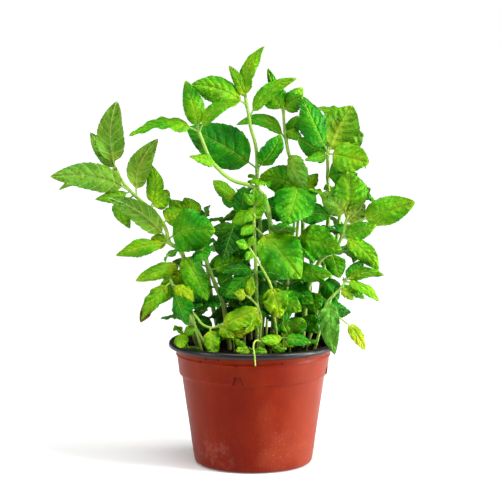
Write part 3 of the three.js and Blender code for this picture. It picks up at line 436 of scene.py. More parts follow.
def pair_leaves(stem, index):
    """The leaves that the photo hides, two by two across the stem, by a seeded rule."""
    made = []
    for p, (k, angle, length, rise) in enumerate(stem["pairs"]):
        random = draw(7919 * (index + 1) + 104729 * (p + 1))
        for turn in (0, 180):
            heading = math.radians(angle + turn + 24 * (random() - 0.5))
            climb = math.radians(rise + 20 * (random() - 0.5))
            size = length * (0.86 + 0.28 * random())
            outward = np.array([math.cos(heading), math.sin(heading), 0.0])
            reach = outward * size * math.cos(climb)
            reach[2] = size * math.sin(climb)
            away = route_point(stem["points"], k) * (1, 1, 0)
            face = unit(np.array([0, 0, 0.8]) + 0.45 * outward + 0.75 * unit(away))
            made.append({
                "k": k, "reach": reach, "face": face, "width": size * (0.5 + 0.1 * random()),
                "arch": 0.06 + 0.1 * random(), "sway": None, "stalk": None,
            })
    return made


def spin(v, axis, angle):
    """The vector turned about the axis by an angle in degrees."""
    c, s = math.cos(math.radians(angle)), math.sin(math.radians(angle))
    return v * c + np.cross(axis, v) * s + axis * np.dot(axis, v) * (1 - c)


def turned(leaf, yaw, pitch):
    """The leaf swung up or down and then about the vertical."""
    reach, face = leaf["reach"], leaf["face"]
    level = np.array([reach[1], -reach[0], 0.0])
    if np.linalg.norm(level) > 1e-3:
        level = unit(level)
        reach, face = spin(reach, level, pitch), spin(face, level, pitch)
    up = np.array([0.0, 0.0, 1.0])
    reach, face = spin(reach, up, yaw), spin(face, up, yaw)
    along = unit(reach)
    return {**leaf, "reach": reach, "normal": unit(face - along * np.dot(face, along))}


def grown_leaves(stem, index):
    """The stem's leaves as packed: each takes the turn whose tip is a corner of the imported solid."""
    corners = frame["nodes"][stem["name"]].data.vertices
    tree = KDTree(len(corners))
    for i, corner in enumerate(corners):
        tree.insert(corner.co, i)
    tree.balance()
    listed = [*enumerate(listed_leaves(stem)), *enumerate(pair_leaves(stem, index), FIRST_PAIR)]
    found = []
    for number, leaf in listed:
        random = draw(1000 * (index + 1) + number)
        leaf["base"] = route_point(stem["points"], leaf["k"])
        leaf["fold"] = 0.05 + 0.3 * random()
        leaf["twist"] = 0.7 * (random() - 0.5)
        if leaf["sway"] is None:
            leaf["sway"] = 0.12 * (random() - 0.5)
        leaf["wave"] = 0.1 + 0.16 * random()
        leaf["phase"] = random()
        leaf["number"] = number
        for yaw, pitch in TURNS:
            placed = turned(leaf, yaw, pitch)
            tip = Vector((placed["base"] + placed["reach"]) * MM)
            if tree.find(tip)[2] < MATCH_MM * MM:
                found.append(placed)
                break
    return found


def mesh_object(name, points, faces, material=None):
    """An object in metres, smooth where it has a material. Without one it is only a tool for cutting."""
    mesh = bpy.data.meshes.new(name)
    mesh.from_pydata(np.array(points, float).tolist(), [], faces)
    if material:
        mesh.polygons.foreach_set("use_smooth", [True] * len(mesh.polygons))
        mesh.materials.append(material)
    mesh.update()
    obj = bpy.data.objects.new(name, mesh)
    bpy.context.scene.collection.objects.link(obj)
    return obj


def closed_rings(rings, around):
    """Faces that join rings of points and close both ends at the two points that follow the rings."""
    beside = [(i + 1) % around for i in range(around)]
    faces = []
    for j in range(rings - 1):
        low, high = j * around, (j + 1) * around
        faces += [(low + i, low + k, high + k, high + i) for i, k in enumerate(beside)]
    first, last = rings * around, (rings - 1) * around
    for i, k in enumerate(beside):
        faces.append((first, k, i))
        faces.append((first + 1, last + i, last + k))
    return faces


class Sheet:
    """Points, faces and the two values that the leaf material reads, gathered for one piece."""

    def __init__(self):
        self.points, self.faces, self.veins, self.tones = [], [], [], []
        self.count = 0

    def add(self, points, faces, veins, tones):
        """Faces have four corners each. A triangle names one of its corners twice."""
        self.points.append(points)
        self.faces.append(faces + self.count)
        self.veins.append(veins)
        self.tones.append(tones)
        self.count += len(points)

    def build(self, name, material):
        faces = [list(dict.fromkeys(face)) for face in np.concatenate(self.faces).tolist()]
        obj = mesh_object(name, np.concatenate(self.points) * MM, faces, material)
        for key, values in (("leaf_veins", self.veins), ("leaf_tone", self.tones)):
            attribute = obj.data.attributes.new(key, "FLOAT_VECTOR", "POINT")
            attribute.data.foreach_set("vector", np.concatenate(values).astype(np.float32).ravel())
        return obj


def tube(sheet, centres, radii, sides, tone, square):
    """A stem or leaf stalk along the centres, round or rounded square."""
    centres = np.asarray(centres)
    ahead = np.vstack([centres[1:], centres[-1:]])
    behind = np.vstack([centres[:1], centres[:-1]])
    along = rows(ahead - behind)
    side = np.array([1.0, 0.0, 0.0])
    if abs(along[0] @ side) > 0.9:
        side = np.array([0.0, 1.0, 0.0])
    angles = 2 * math.pi * np.arange(sides) / sides
    swell = 1 + square * np.cos(4 * angles)
    turn_side, turn_other = swell * np.cos(angles), swell * np.sin(angles)
    rings = []
    for c, a, r in zip(centres, along, radii):
        side = unit(side - a * (side @ a))
        rings.append(c + r * (np.outer(turn_side, side) + np.outer(turn_other, np.cross(a, side))))
    points = np.vstack(rings + [centres[:1], centres[-1:]])
    faces = [(*face, face[-1])[:4] for face in closed_rings(len(rings), sides)]
    share = np.concatenate([np.repeat(np.linspace(0, 1, len(rings)), sides), [0, 1]])
    blank = np.zeros(len(points))
    veins = np.column_stack([blank + 0.5, blank + STEM_ACROSS, blank])
    tones = np.column_stack([blank + tone, blank, 1 + share])
    sheet.add(points, np.array(faces), veins, tones)


def ovate(s, taper):
    """Half the leaf's width along its length, 1 at its widest: a higher taper gives a sharper tip."""
    s = np.clip(s, 0, 1)
    widest = 0.5 / (0.5 + taper)
    return s**0.5 * (1 - s) ** taper / (widest**0.5 * (1 - widest) ** taper)


def tooth_stations(teeth):
    """Places along the leaf's edge with how far each has risen from the notch to the point of its tooth."""
    stations, rise = [0.0], [0.0]
    for tooth in range(teeth):
        for inside, peak in ((0.0, 0.0), (0.4, 0.5), (0.78, 1.0)):
            stations.append(0.03 + 0.95 * (tooth + inside) / teeth)
            rise.append(peak)
    return np.array(stations), np.array(rise)


def blade_faces(n, m):
    """The faces of a blade of four grids, two above and then two below, and of its tip."""
    grid, tip = n * m, 4 * n * m
    faces = []
    for layer in (0, 2):
        for side in (0, 1):
            offset = (layer + side) * grid
            flip = (side == 0) == (layer == 0)
            i, j = np.meshgrid(np.arange(n - 1), np.arange(m - 1), indexing="ij")
            a = offset + i * m + j
            b, c, d = a + m, a + m + 1, a + 1
            faces.append(np.stack([a, b, c, d] if flip else [a, d, c, b], -1).reshape(-1, 4))
            a = offset + (n - 1) * m + np.arange(m - 1)
            end = np.full(m - 1, tip)
            faces.append(np.stack([a, end, a + 1, a + 1] if flip else [a, a + 1, end, end], -1))
    merge = np.arange(tip + 1)
    index = np.arange(grid).reshape(n, m)
    merge[grid + index[:, 0]] = index[:, 0]
    merge[3 * grid + index[:, 0]] = 2 * grid + index[:, 0]
    merge[2 * grid + index[:, -1]] = index[:, -1]
    merge[3 * grid + index[:, -1]] = grid + index[:, -1]
    return merge[np.vstack(faces)]


def leaf_blade(sheet, leaf, tone, dead, dull=FRESH):
    """A toothed blade, quilted between its side veins, with a midrib sunken above and raised below."""
    base, reach, normal = leaf["base"], leaf["reach"], leaf["normal"]
    length = np.linalg.norm(reach)
    along = reach / length
    across = unit(np.cross(along, normal))
    start = leaf["stalk"] or PETIOLE_SHARE
    size = "large" if length > LARGE_LEAF else "middle" if length > SMALL_LEAF else "small"
    widths, teeth, veins = ACROSS[size], TEETH[size], VEINS[size]
    half = leaf["width"] / 2
    random = np.random.default_rng(int(1e4 * leaf["phase"]) + leaf["number"])

    def centre(t):
        """The midrib, where t is 0 at the stem and 1 at the tip."""
        t = np.asarray(t)[:, None]
        bow = length * 4 * t * (1 - t)
        return base + reach * t + normal * leaf["arch"] * bow + across * leaf["sway"] * bow

    def frames(s):
        """The blade's own up and out along its length, where s is 0 where the blade begins."""
        slope = leaf["arch"] * 4 * (1 - 2 * (start + (1 - start) * s))
        up = rows(normal[None, :] - along[None, :] * slope[:, None])
        turn = leaf["twist"] * np.maximum(0, s - 0.3)
        c, w = np.cos(turn)[:, None], np.sin(turn)[:, None]
        return up * c - across * w, across * c + up * w

    # The grid of one half, from the stalk to the tip and from the midrib to the edge
    stations, rise = tooth_stations(teeth)
    n, m = len(stations), len(widths)
    s0, w = np.meshgrid(stations, widths, indexing="ij")
    tooth = np.repeat(rise[:, None], m, 1) * np.clip((w - 0.8) / 0.2, 0, 1)
    s = s0 + VEIN_SWEEP * w**1.1 * np.sin(math.pi * s0) * (1.12 - 0.4 * s0) + 0.3 / teeth * tooth
    s = np.clip(s, 0, 0.992)

    # How far out each point lies, with teeth that shrink towards the tip
    extent = half * ovate(s, 0.55 if base[2] < LOW_LEAF and size == "small" else 0.8) * w
    extent = np.maximum(extent, 0.7 * w * (1 - s) ** 2)
    extent += (0.055 * half + 0.3) * tooth * (0.4 + 0.6 * np.sin(math.pi * s)) * (1 - 0.6 * s)
    extent -= 0.05 * half * (w > 0.99) * np.sin(math.pi * s)

    # The quilting: a bulge of its own height in each cell between two side veins
    lane = s0 * veins + 0.25
    quilt = np.abs(np.sin(math.pi * lane)) ** 0.75
    cells = random.uniform(0.5, 1.0, (veins + 3, 4))
    rough = cells[np.floor(lane).astype(int), np.minimum((w * 3).astype(int), 3)]
    gather = np.abs(np.sin(3 * math.pi * w)) if size != "small" else np.sin(math.pi * w)
    height = (0.145 * half + 0.16) * quilt * rough
    bulge = height * np.clip(w / 0.12, 0, 1) * (1 - 0.6 * w) * (0.72 + 0.28 * gather)
    cup = 0.16 * half * (w - w * w) * 4 * np.sin(math.pi * np.clip(s, 0, 1)) ** 0.7 * 0.5

    # Yellow and dying leaves are the most crumpled, and small pale ones more than the rest
    wobble = random.uniform(0, 1)
    crumple = 0.2 if 0.7 < tone < 0.79 or dead else 0.14 if tone > 0.57 and length < SMALL_LEAF + 6 else 0.05
    frill = 0.22 if crumple > 0.1 else 0.09
    beats = random.uniform(0, 1, 6)

    # Both halves, above and below
    s, w, extent, tooth, lane, quilt = (grid.ravel() for grid in (s, w, extent, tooth, lane, quilt))
    rough, bulge, cup = rough.ravel(), bulge.ravel(), cup.ravel()
    up, out = frames(s)
    spine = centre(start + (1 - start) * s)
    edge = np.clip((1 - w) / 0.08, 0, 1)
    groove = 0.3 * np.exp(-((extent / 0.7) ** 2))
    rib = np.exp(-((extent / 0.65) ** 2)) * (1 - 0.65 * s)
    vein_below = 0.1 * (1 - quilt) * (1 - w)
    above, below = [], []
    for side in (-1, 1):
        shift = leaf["phase"] + (0.35 if side < 0 else 0)
        ripple = leaf["wave"] * extent * beat(1.5 * s + shift)
        fine = frill * extent * beat(4.1 * s + wobble + 0.3 * side) * w
        creases = beat(1.9 * s + 0.7 * side * w + beats[0])
        creases = creases + 0.8 * beat(3.3 * s - 1.3 * side * w + beats[1])
        creases = creases + 0.5 * beat(5.7 * s + 2.1 * w + beats[2 + (side > 0)])
        curl = 0.22 * w**2 * extent * beat(0.9 * s + beats[4] + 0.2 * side)
        lift = ripple + fine - extent * math.sin(leaf["fold"]) + bulge + cup
        lift = lift + crumple * half * creases * np.minimum(1, 1.6 * w) * np.sin(math.pi * s) ** 0.5 + curl
        lift = lift - 0.25 * tooth * (0.6 + 0.4 * rough)
        place = spine + out * (side * extent * math.cos(leaf["fold"]))[:, None]
        above.append(place + up * (lift - groove + 0.1 * edge)[:, None])
        below.append(place + up * (lift - edge * (0.1 + 0.55 * rib + vein_below))[:, None])
    points = np.vstack([*above, *below, centre(np.array([1.0]))])

    # What the material reads: lane between the veins, place across and dullness, then tone, death and edge
    signed = np.concatenate([-extent, extent])
    value = np.column_stack([np.tile(lane, 4), np.tile(signed, 2), np.repeat(dull, 2 * n * m)])
    burnt = (s - (1.02 - 0.75 * dead)) * 4 + (w - 0.75) * 2 * (dead > 0)
    burnt = np.clip(burnt, 0, 1) * (dead > 0)
    tones = np.column_stack([np.full(4 * n * m, tone), np.tile(burnt, 4), 0.2 + 0.5 * np.tile(w, 4)])
    value = np.vstack([value, [veins, 0, 0]])
    tones = np.vstack([tones, [tone, 1.0 if dead else 0.0, 0.2]])
    sheet.add(points, blade_faces(n, m), value, tones)

    stalk = centre(np.linspace(0, start + (1 - start) * 0.05, 5))
    thick = PETIOLE_HALF * (0.75 if length < SMALL_LEAF else 1.0)
    tube(sheet, stalk, np.linspace(thick * 1.1, thick * 0.75, 5), STALK_SIDES, min(1, tone + 0.15), 0)


def bud_leaf(sheet, base, reach, face, width, tone, seed):
    """A small folded leaf of a growing tip or a sprout."""
    random = draw(seed)
    along = unit(reach)
    leaf = {
        "base": base, "reach": reach, "normal": unit(face - along * (face @ along)), "width": width,
        "arch": 0.08, "fold": 0.5 + 0.3 * random(), "twist": 0, "sway": 0.1 * (random() - 0.5), "wave": 0.1,
        "phase": random(), "stalk": 0.1, "number": seed,
    }
    leaf_blade(sheet, leaf, tone, 0)


def stem_rod(sheet, stem, joints):
    """The bare stem, rounded square and swollen at its joints. Returns the points along its middle."""
    points = stem["points"]
    last = len(points) - 2
    places = [0.0]
    while places[-1] < last:
        here, there = route_point(points, places[-1]), route_point(points, min(last, places[-1] + 0.05))
        pace = max(np.linalg.norm(there - here) / 0.05, 1e-3)
        places.append(min(last, places[-1] + RING_STEP / pace))
    centres = [points[0], *[route_point(points, place) for place in places]]
    radii = [stem["thick"] * 0.8]
    for place in places:
        radius = stem["thick"] + (stem["thin"] - stem["thick"]) * place / last
        close = min([abs(place - joint) for joint in joints], default=9)
        radii.append(radius * 0.82 * (1 + JOINT_SWELL * math.exp(-((close / 0.12) ** 2))))
    tone = 0.72 if "seedling" not in stem["name"] and stem["thick"] > 1.2 else 0.82
    tube(sheet, centres, radii, STEM_SIDES, tone, 0.09)
    return centres


def tip_bud(sheet, centres, index):
    """Four small leaves folded round the growing tip."""
    top = centres[-1]
    heading = unit(top - centres[-3])
    side = unit(np.cross(heading, (0.3, 1, 0.2)))
    for i in range(4):
        angle = math.pi / 2 * i + 0.4
        outward = side * math.cos(angle) + np.cross(heading, side) * math.sin(angle)
        size = BUD_LENGTH - 0.6 * i
        reach = size * unit(heading + 0.45 * outward)
        face = unit(outward * -0.8 + heading * 0.3)
        bud_leaf(sheet, top - 0.6 * heading, reach, face, size * 0.5, 0.4, 900 + 10 * index + i)


def sprout(sheet, place, top, leaflets, seed):
    """A thread of a stem that bends up out of the soil to its leaflets."""
    low = np.array([*place, soil_height(*place) - 3.0], float)
    high = np.array(top, float)
    bend = (high - low) * (0.15, 0.15, 0.6) + low
    share = np.linspace(0, 1, 9)[:, None]
    way = low * (1 - share) ** 2 + 2 * bend * share * (1 - share) + high * share**2
    tube(sheet, way, np.linspace(0.6, 0.45, 9), STALK_SIDES, 0.8, 0)
    for i, (reach, width, tone) in enumerate(leaflets):
        face = unit(np.array([0.2 * reach[0], -6.0, 7.0]))
        bud_leaf(sheet, high, np.array(reach, float), face, width, tone, seed + i)


def stem_piece(stem, index, material):
    """A stem with its leaves, its growing tip and the sprouts beside it, in place of its faceted solid."""
    foot = np.array([*stem["foot"], soil_height(*stem["foot"])], float)
    root = foot - (0, 0, ROOT_DEPTH)
    stem["points"] = [root, foot] + [np.array(p, float) for p in stem["route"]]
    sheet = Sheet()
    leaves = grown_leaves(stem, index)
    centres = stem_rod(sheet, stem, {leaf["k"] for leaf in leaves})
    listed = stem["tones"]
    random = draw(77 + index)
    for leaf in leaves:
        number = leaf["number"]
        if number < len(listed):
            tone = listed[number]
        else:
            # Hidden leaves take dark tones low down as painted shade and paler ones high up as painted light
            tone = (0.38 if leaf["base"][2] > HIGH_LEAF else 0.04) + 0.24 * random()
        key = (stem["name"], number)
        leaf_blade(sheet, leaf, tone, DEAD.get(key, 0), DULL.get(key, FRESH))
    if stem["name"] != "runner_front":
        tip_bud(sheet, centres, index)
    for number, (place, top, leaflets) in enumerate(SPROUTS.get(stem["name"], [])):
        sprout(sheet, place, top, leaflets, 3000 + 100 * index + 10 * number)
    obj = sheet.build("fine_" + stem["name"], material)
    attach(obj, "root")
    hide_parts(stem["name"])
    return obj


def linear(r, g, b):
    """A colour as the eye names it, 0 to 255, as light."""
    return [((c / 255 + 0.055) / 1.055) ** 2.4 if c > 10 else c / 255 / 12.92 for c in (r, g, b)] + [1.0]


class Nodes:
    """Short names for building a material."""

    def __init__(self, name):
        self.material = bpy.data.materials.new(name)
        self.material.use_nodes = True
        self.tree = self.material.node_tree
        self.shader = self.tree.nodes["Principled BSDF"]
        self.output = self.tree.nodes["Material Output"]

    def new(self, kind, **settings):
        node = self.tree.nodes.new(kind)
        for key, value in settings.items():
            setattr(node, key, value)
        return node

    def link(self, a, b):
        self.tree.links.new(a, b)

    def feed(self, socket, value):
        if isinstance(value, bpy.types.NodeSocket):
            self.link(value, socket)
        else:
            socket.default_value = value

    def surface(self, **values):
        """Sets the shader's inputs, which are named here with _ for each space."""
        for key, value in values.items():
            self.feed(self.shader.inputs[key.replace("_", " ")], value)

    def place(self):
        return self.new("ShaderNodeTexCoord").outputs["Object"]

    def attribute(self, name):
        return self.new("ShaderNodeAttribute", attribute_name=name)

    def parts(self, vector):
        """The three numbers of a vector."""
        node = self.new("ShaderNodeSeparateXYZ")
        self.link(vector, node.inputs[0])
        return node.outputs[0], node.outputs[1], node.outputs[2]

    def math(self, operation, a, b=0.0, clamp=False):
        node = self.new("ShaderNodeMath", operation=operation, use_clamp=clamp)
        self.feed(node.inputs[0], a)
        self.feed(node.inputs[1], b)
        return node.outputs[0]

    def plus(self, a, b, clamp=False):
        return self.math("ADD", a, b, clamp)

    def times(self, a, b, *more):
        product = self.math("MULTIPLY", a, b)
        for factor in more:
            product = self.math("MULTIPLY", product, factor)
        return product

    def between(self, value, low, high, to_low=0.0, to_high=1.0, smooth=True):
        node = self.new("ShaderNodeMapRange", interpolation_type="SMOOTHSTEP" if smooth else "LINEAR")
        for i, v in enumerate((value, low, high, to_low, to_high)):
            self.feed(node.inputs[i], v)
        return node.outputs[0]

    def mix(self, share, a, b):
        node = self.new("ShaderNodeMix", data_type="RGBA")
        self.feed(node.inputs[0], share)
        self.feed(node.inputs[6], a)
        self.feed(node.inputs[7], b)
        return node.outputs[2]

    def ramp(self, value, stops):
        node = self.new("ShaderNodeValToRGB")
        elements = node.color_ramp.elements
        while len(elements) < len(stops):
            elements.new(0.5)
        for element, (place, colour) in zip(elements, stops):
            element.position = place
            element.color = linear(*colour)
        self.feed(node.inputs[0], value)
        return node.outputs[0]

    def noise(self, vector, scale, detail, rough):
        node = self.new("ShaderNodeTexNoise")
        for key, value in (("Vector", vector), ("Scale", scale), ("Detail", detail), ("Roughness", rough)):
            self.feed(node.inputs[key], value)
        return node.outputs[0]

    def cells(self, vector, scale, feature="F1"):
        node = self.new("ShaderNodeTexVoronoi", feature=feature)
        self.feed(node.inputs["Vector"], vector)
        self.feed(node.inputs["Scale"], scale)
        return node.outputs[0]

    def bump(self, height, strength, distance):
        node = self.new("ShaderNodeBump")
        for key, value in (("Height", height), ("Strength", strength), ("Distance", distance)):
            self.feed(node.inputs[key], value)
        return node.outputs[0]


def leaf_material(name, lean):
    """Green tissue with pale veins and painted light and shade above, paler and duller below with patches of
    painted shade, and brown where a leaf is dead.
    """
    n = Nodes(name)
    place = n.place()
    lane, across, under = n.parts(n.attribute("leaf_veins").outputs["Vector"])
    tone, burnt, kind = n.parts(n.attribute("leaf_tone").outputs["Vector"])

    # Side veins, the folds beside them, the midrib, forks near the edge and the net of the finest veins
    beside = n.math("PINGPONG", lane, 0.5)
    side_vein = n.between(beside, 0.02, 0.085, 1.0, 0.0)
    furrow_shade = n.between(beside, 0.03, 0.15, 1.0, 0.0)
    crest = n.between(beside, 0.1, 0.45)
    far = n.math("ABSOLUTE", across)
    middle = n.between(far, 0.2, 0.55, 1.0, 0.0)
    fork = n.between(n.math("PINGPONG", n.times(lane, 3.0), 0.5), 0.03, 0.14, 1.0, 0.0)
    fork = n.times(fork, n.between(kind, 0.38, 0.5))
    vein = n.math("MAXIMUM", n.times(side_vein, 0.8), middle)
    threads = n.between(n.cells(place, 310.0, "DISTANCE_TO_EDGE"), 0.02, 0.19, 1.0, 0.0)
    fine = n.math("MAXIMUM", threads, n.times(fork, 0.8))
    stem_like = n.between(kind, 0.9, 1.0, smooth=False)
    blade = n.math("SUBTRACT", 1.0, stem_like)

    # The green, from the leaf's tone with blotches, yellower at its base and beside the midrib
    blotch = n.noise(place, 55.0, 1.5, 0.5)
    cloud = n.noise(place, 26.0, 1.0, 0.5)
    speck = n.noise(place, 420.0, 2.0, 0.6)
    light_shade_patches = n.noise(place, 46.0, 1.5, 0.5)
    hue = n.plus(tone, n.times(n.math("SUBTRACT", blotch, 0.5), 0.7))
    hue = n.plus(hue, n.times(n.between(lane, 0.3, 2.2, 0.11, -0.02), blade))
    hue = n.plus(hue, n.between(far, 0.0, 7.0, 0.09 + lean, -0.04 + lean), clamp=True)
    green = n.ramp(hue, [
        (0.0, (0, 84, 8)), (0.14, (6, 138, 22)), (0.28, (34, 154, 4)), (0.45, (80, 168, 0)),
        (0.65, (122, 184, 0)), (0.85, (172, 200, 0)), (1.0, (214, 212, 50)),
    ])
    # Lit and shaded copies of the green, for painted light and painted shade
    painted_lit_green = n.mix(0.5, green, linear(150, 236, 24))
    painted_shade_green = n.mix(0.62, green, linear(0, 70, 0))

    # The upper side: painted highlights on the crests of the quilting, painted light and shade on its two
    # slopes, painted shade in its furrows and in the net of fine veins, painted patches of light and shade,
    # and pale veins
    puff = n.between(n.cells(place, 310.0), 0.1, 0.6, 1.0, 0.0)
    # The crests of the quilting, lighter as a painted highlight
    swell = n.times(crest, n.between(cloud, 0.35, 0.65, 0.2, 1.0), n.between(puff, 0.0, 1.0, 0.12, 0.44))
    # Painted light on one slope of each cell between side veins and painted shade on the other
    one_side_light = n.math("SINE", n.times(lane, 2 * math.pi))
    one_side_light = n.times(one_side_light, n.between(far, 0.6, 3.0, 0.02, 0.17))
    top = green
    for share, colour in (
        (swell, painted_lit_green),
        (n.math("MAXIMUM", one_side_light, 0.0), painted_lit_green),
        (n.math("MAXIMUM", n.times(one_side_light, -1.0), 0.0), painted_shade_green),
        # Painted shade in the folds beside the side veins
        (n.times(furrow_shade, n.between(far, 1.0, 5.0, 0.1, 0.4)), painted_shade_green),
        # Painted patches of shade and of light
        (n.between(light_shade_patches, 0.46, 0.66, 0.0, 0.5), painted_shade_green),
        (n.between(light_shade_patches, 0.46, 0.3, 0.0, 0.45), painted_lit_green),
        # Painted shade in the creases of the net of fine veins
        (n.times(fine, n.between(far, 1.0, 7.0, 0.16, 0.5)), painted_shade_green),
        (n.times(side_vein, n.between(far, 2.0, 8.0, 0.45, 0.08)), linear(160, 216, 60)),
        (n.times(middle, 0.6), linear(178, 218, 84)),
    ):
        top = n.mix(n.times(share, blade), top, colour)

    # The under side: paler and greyer, with patches of painted shade and raised veins
    below = n.mix(0.45, green, linear(108, 142, 44))
    for share, colour in (
        (n.between(light_shade_patches, 0.46, 0.66, 0.0, 0.3), painted_shade_green),
        (n.times(vein, 0.66), linear(180, 212, 118)),
        (n.times(threads, 0.2), linear(160, 190, 96)),
    ):
        below = n.mix(n.times(share, blade), below, colour)

    # Stems are paler and turn brown near the soil, and dead parts are brown everywhere
    colour = n.mix(n.times(under, blade), top, below)
    colour = n.mix(n.times(stem_like, 0.55), colour, linear(166, 200, 112))
    colour = n.mix(n.times(n.between(kind, 1.25, 1.0), stem_like, 0.62), colour, linear(104, 74, 44))
    dry = n.between(n.plus(burnt, n.times(n.math("SUBTRACT", speck, 0.5), 0.7)), 0.35, 0.7)
    colour = n.mix(dry, colour, n.ramp(blotch, [(0.3, (52, 34, 14)), (0.7, (128, 92, 40))]))
    height = n.plus(n.plus(n.times(vein, -0.8), n.times(puff, 1.2)), n.times(speck, 0.3))
    normal = n.bump(height, 0.7, 0.0007)
    rough = n.between(n.plus(under, n.times(blotch, 0.5)), 0.2, 1.3, 0.4, 0.62)
    n.surface(Base_Color=colour, Roughness=rough, Specular_IOR_Level=0.13, Normal=normal)

    # Some light passes through
    glow = n.new("ShaderNodeBsdfTranslucent")
    n.link(n.mix(0.45, colour, linear(130, 210, 0)), glow.inputs["Color"])
    n.link(normal, glow.inputs["Normal"])
    blend = n.new("ShaderNodeMixShader")
    blend.inputs[0].default_value = LEAF_GLOW
    n.link(n.shader.outputs[0], blend.inputs[1])
    n.link(glow.outputs[0], blend.inputs[2])
    n.link(blend.outputs[0], n.output.inputs["Surface"])
    return n.material


def pot_material():
    """Moulded plastic: terracotta outside, nearly black at the rim and inside, dusty and scuffed, with
    painted sheen on both sides, a painted shadow under the rim and painted shade in the notches' cheeks.
    """
    n = Nodes("pot_plastic")
    place = n.place()
    # Black plastic at the rim and inside, and painted shade in the notches' cheeks
    dark = n.attribute("black_and_painted_shade").outputs["Fac"]
    stretch = n.new("ShaderNodeMapping")
    stretch.inputs["Scale"].default_value = (1.0, 1.0, 0.35)
    n.link(place, stretch.inputs["Vector"])
    cloud = n.noise(place, 22.0, 4.0, 0.6)
    smear = n.noise(stretch.outputs[0], 55.0, 5.0, 0.65)
    grit = n.noise(place, 700.0, 2.0, 0.7)
    haze = n.noise(place, 15.0, 3.0, 0.6)
    chalk = n.noise(place, 130.0, 4.0, 0.7)
    x, _, z = n.parts(place)

    # Painted sheen on both sides, dust, a chalky smudge low on the left, soil on the collar's step and a
    # painted shadow under the rim
    # Painted sheen on the right and left sides of the wall
    side_sheen = n.plus(n.between(x, 0.012, 0.05, 0.0, 0.15), n.between(x, -0.025, -0.055, 0.0, 0.12))
    dust_and_sheen = n.plus(side_sheen, n.between(smear, 0.5, 0.78, 0.0, 0.06))
    dust_and_sheen = n.plus(dust_and_sheen, n.between(haze, 0.54, 0.74, 0.0, 0.14))
    low_left = n.times(n.between(x, 0.0, -0.03), n.between(z, 0.036, 0.012))
    crumbs = n.between(n.cells(place, 150.0), 0.1, 0.16, 0.9, 0.0)
    crumbs = n.times(crumbs, n.between(z, 0.0835, 0.0845))
    # A painted shadow right under the rim
    rim_shadow = n.between(z, 0.0885, 0.0898, 0.0, 0.6)
    clay = n.ramp(cloud, [(0.3, (108, 17, 0)), (0.55, (118, 26, 0)), (0.8, (130, 38, 0))])
    for share, colour in (
        (n.between(smear, 0.55, 0.3, 0.0, 0.3), (88, 10, 0)),
        (dust_and_sheen, (190, 108, 80)),
        (n.times(low_left, n.between(chalk, 0.46, 0.7, 0.0, 0.11)), (206, 150, 136)),
        # Soil crumbs on the collar's step and the painted shadow under the rim
        (n.math("MAXIMUM", crumbs, rim_shadow), (24, 8, 4)),
        (n.times(n.between(grit, 0.6, 0.7), n.between(haze, 0.45, 0.65, 0.03, 0.18)), (196, 132, 110)),
    ):
        clay = n.mix(share, clay, linear(*colour))
    black = n.ramp(smear, [(0.35, (5, 4, 4)), (0.6, (22, 18, 16)), (0.8, (80, 74, 68))])
    n.surface(
        Base_Color=n.mix(dark, clay, black),
        Roughness=n.between(smear, 0.25, 0.8, 0.3, 0.52),
        Specular_IOR_Level=n.between(dark, 0.95, 1.0, 0.08, 0.38),
        Normal=n.bump(n.plus(n.times(grit, 0.4), smear), 0.12, 0.0006),
    )
    return n.material


def soil_material():
    """Dark potting soil with paler bits of bark."""
    n = Nodes("soil")
    place = n.place()
    clod = n.noise(place, 160.0, 4.0, 0.65)
    fine = n.noise(place, 900.0, 3.0, 0.7)
    bits = n.between(n.cells(place, 330.0), 0.1, 0.16, 1.0, 0.0)
    bark = n.times(bits, n.between(clod, 0.45, 0.7, 0.0, 0.5))
    colour = n.ramp(clod, [(0.3, (7, 5, 3)), (0.55, (22, 16, 10)), (0.8, (58, 43, 28))])
    n.surface(
        Base_Color=n.mix(bark, colour, linear(104, 84, 58)),
        Roughness=0.92,
        Specular_IOR_Level=0.06,
        Normal=n.bump(n.plus(n.times(fine, 0.6), clod), 0.8, 0.0012),
    )
    return n.material


def floor_material():
    """White, and glowing more with distance, so that no horizon shows."""
    n = Nodes("floor")
    away = n.new("ShaderNodeVectorMath", operation="LENGTH")
    n.link(n.place(), away.inputs[0])
    n.surface(
        Base_Color=(0.92, 0.92, 0.92, 1),
        Roughness=0.9,
        Emission_Color=(1, 1, 1, 1),
        Emission_Strength=n.between(away.outputs["Value"], 0.35, 2.2, 0.14, 0.92),
    )
    return n.material


def notch_tool(number):
    """The wedge that cuts a stacking notch into the collar, wide at its foot and narrow above."""
    a = math.radians(FIRST_NOTCH + 90 * number)
    out, side = np.array([math.cos(a), math.sin(a), 0]), np.array([-math.sin(a), math.cos(a), 0])
    corners = []
    for low, high, spread in ((54.9, 55.7, 0), (64, 64, 4)):
        foot, top = (low, 4.2 + spread, 67.9), (high, 1.4 + spread, 75.2 + spread)
        for sign, (depth, width, z) in ((-1, foot), (1, foot), (1, top), (-1, top)):
            corners.append((out * depth + side * sign * width + np.array([0, 0, z])) * MM)
    walls = [(0, 3, 2, 1), (4, 5, 6, 7), (0, 1, 5, 4), (1, 2, 6, 5), (2, 3, 7, 6), (3, 0, 4, 7)]
    return mesh_object(f"notch_{number}", corners, walls)


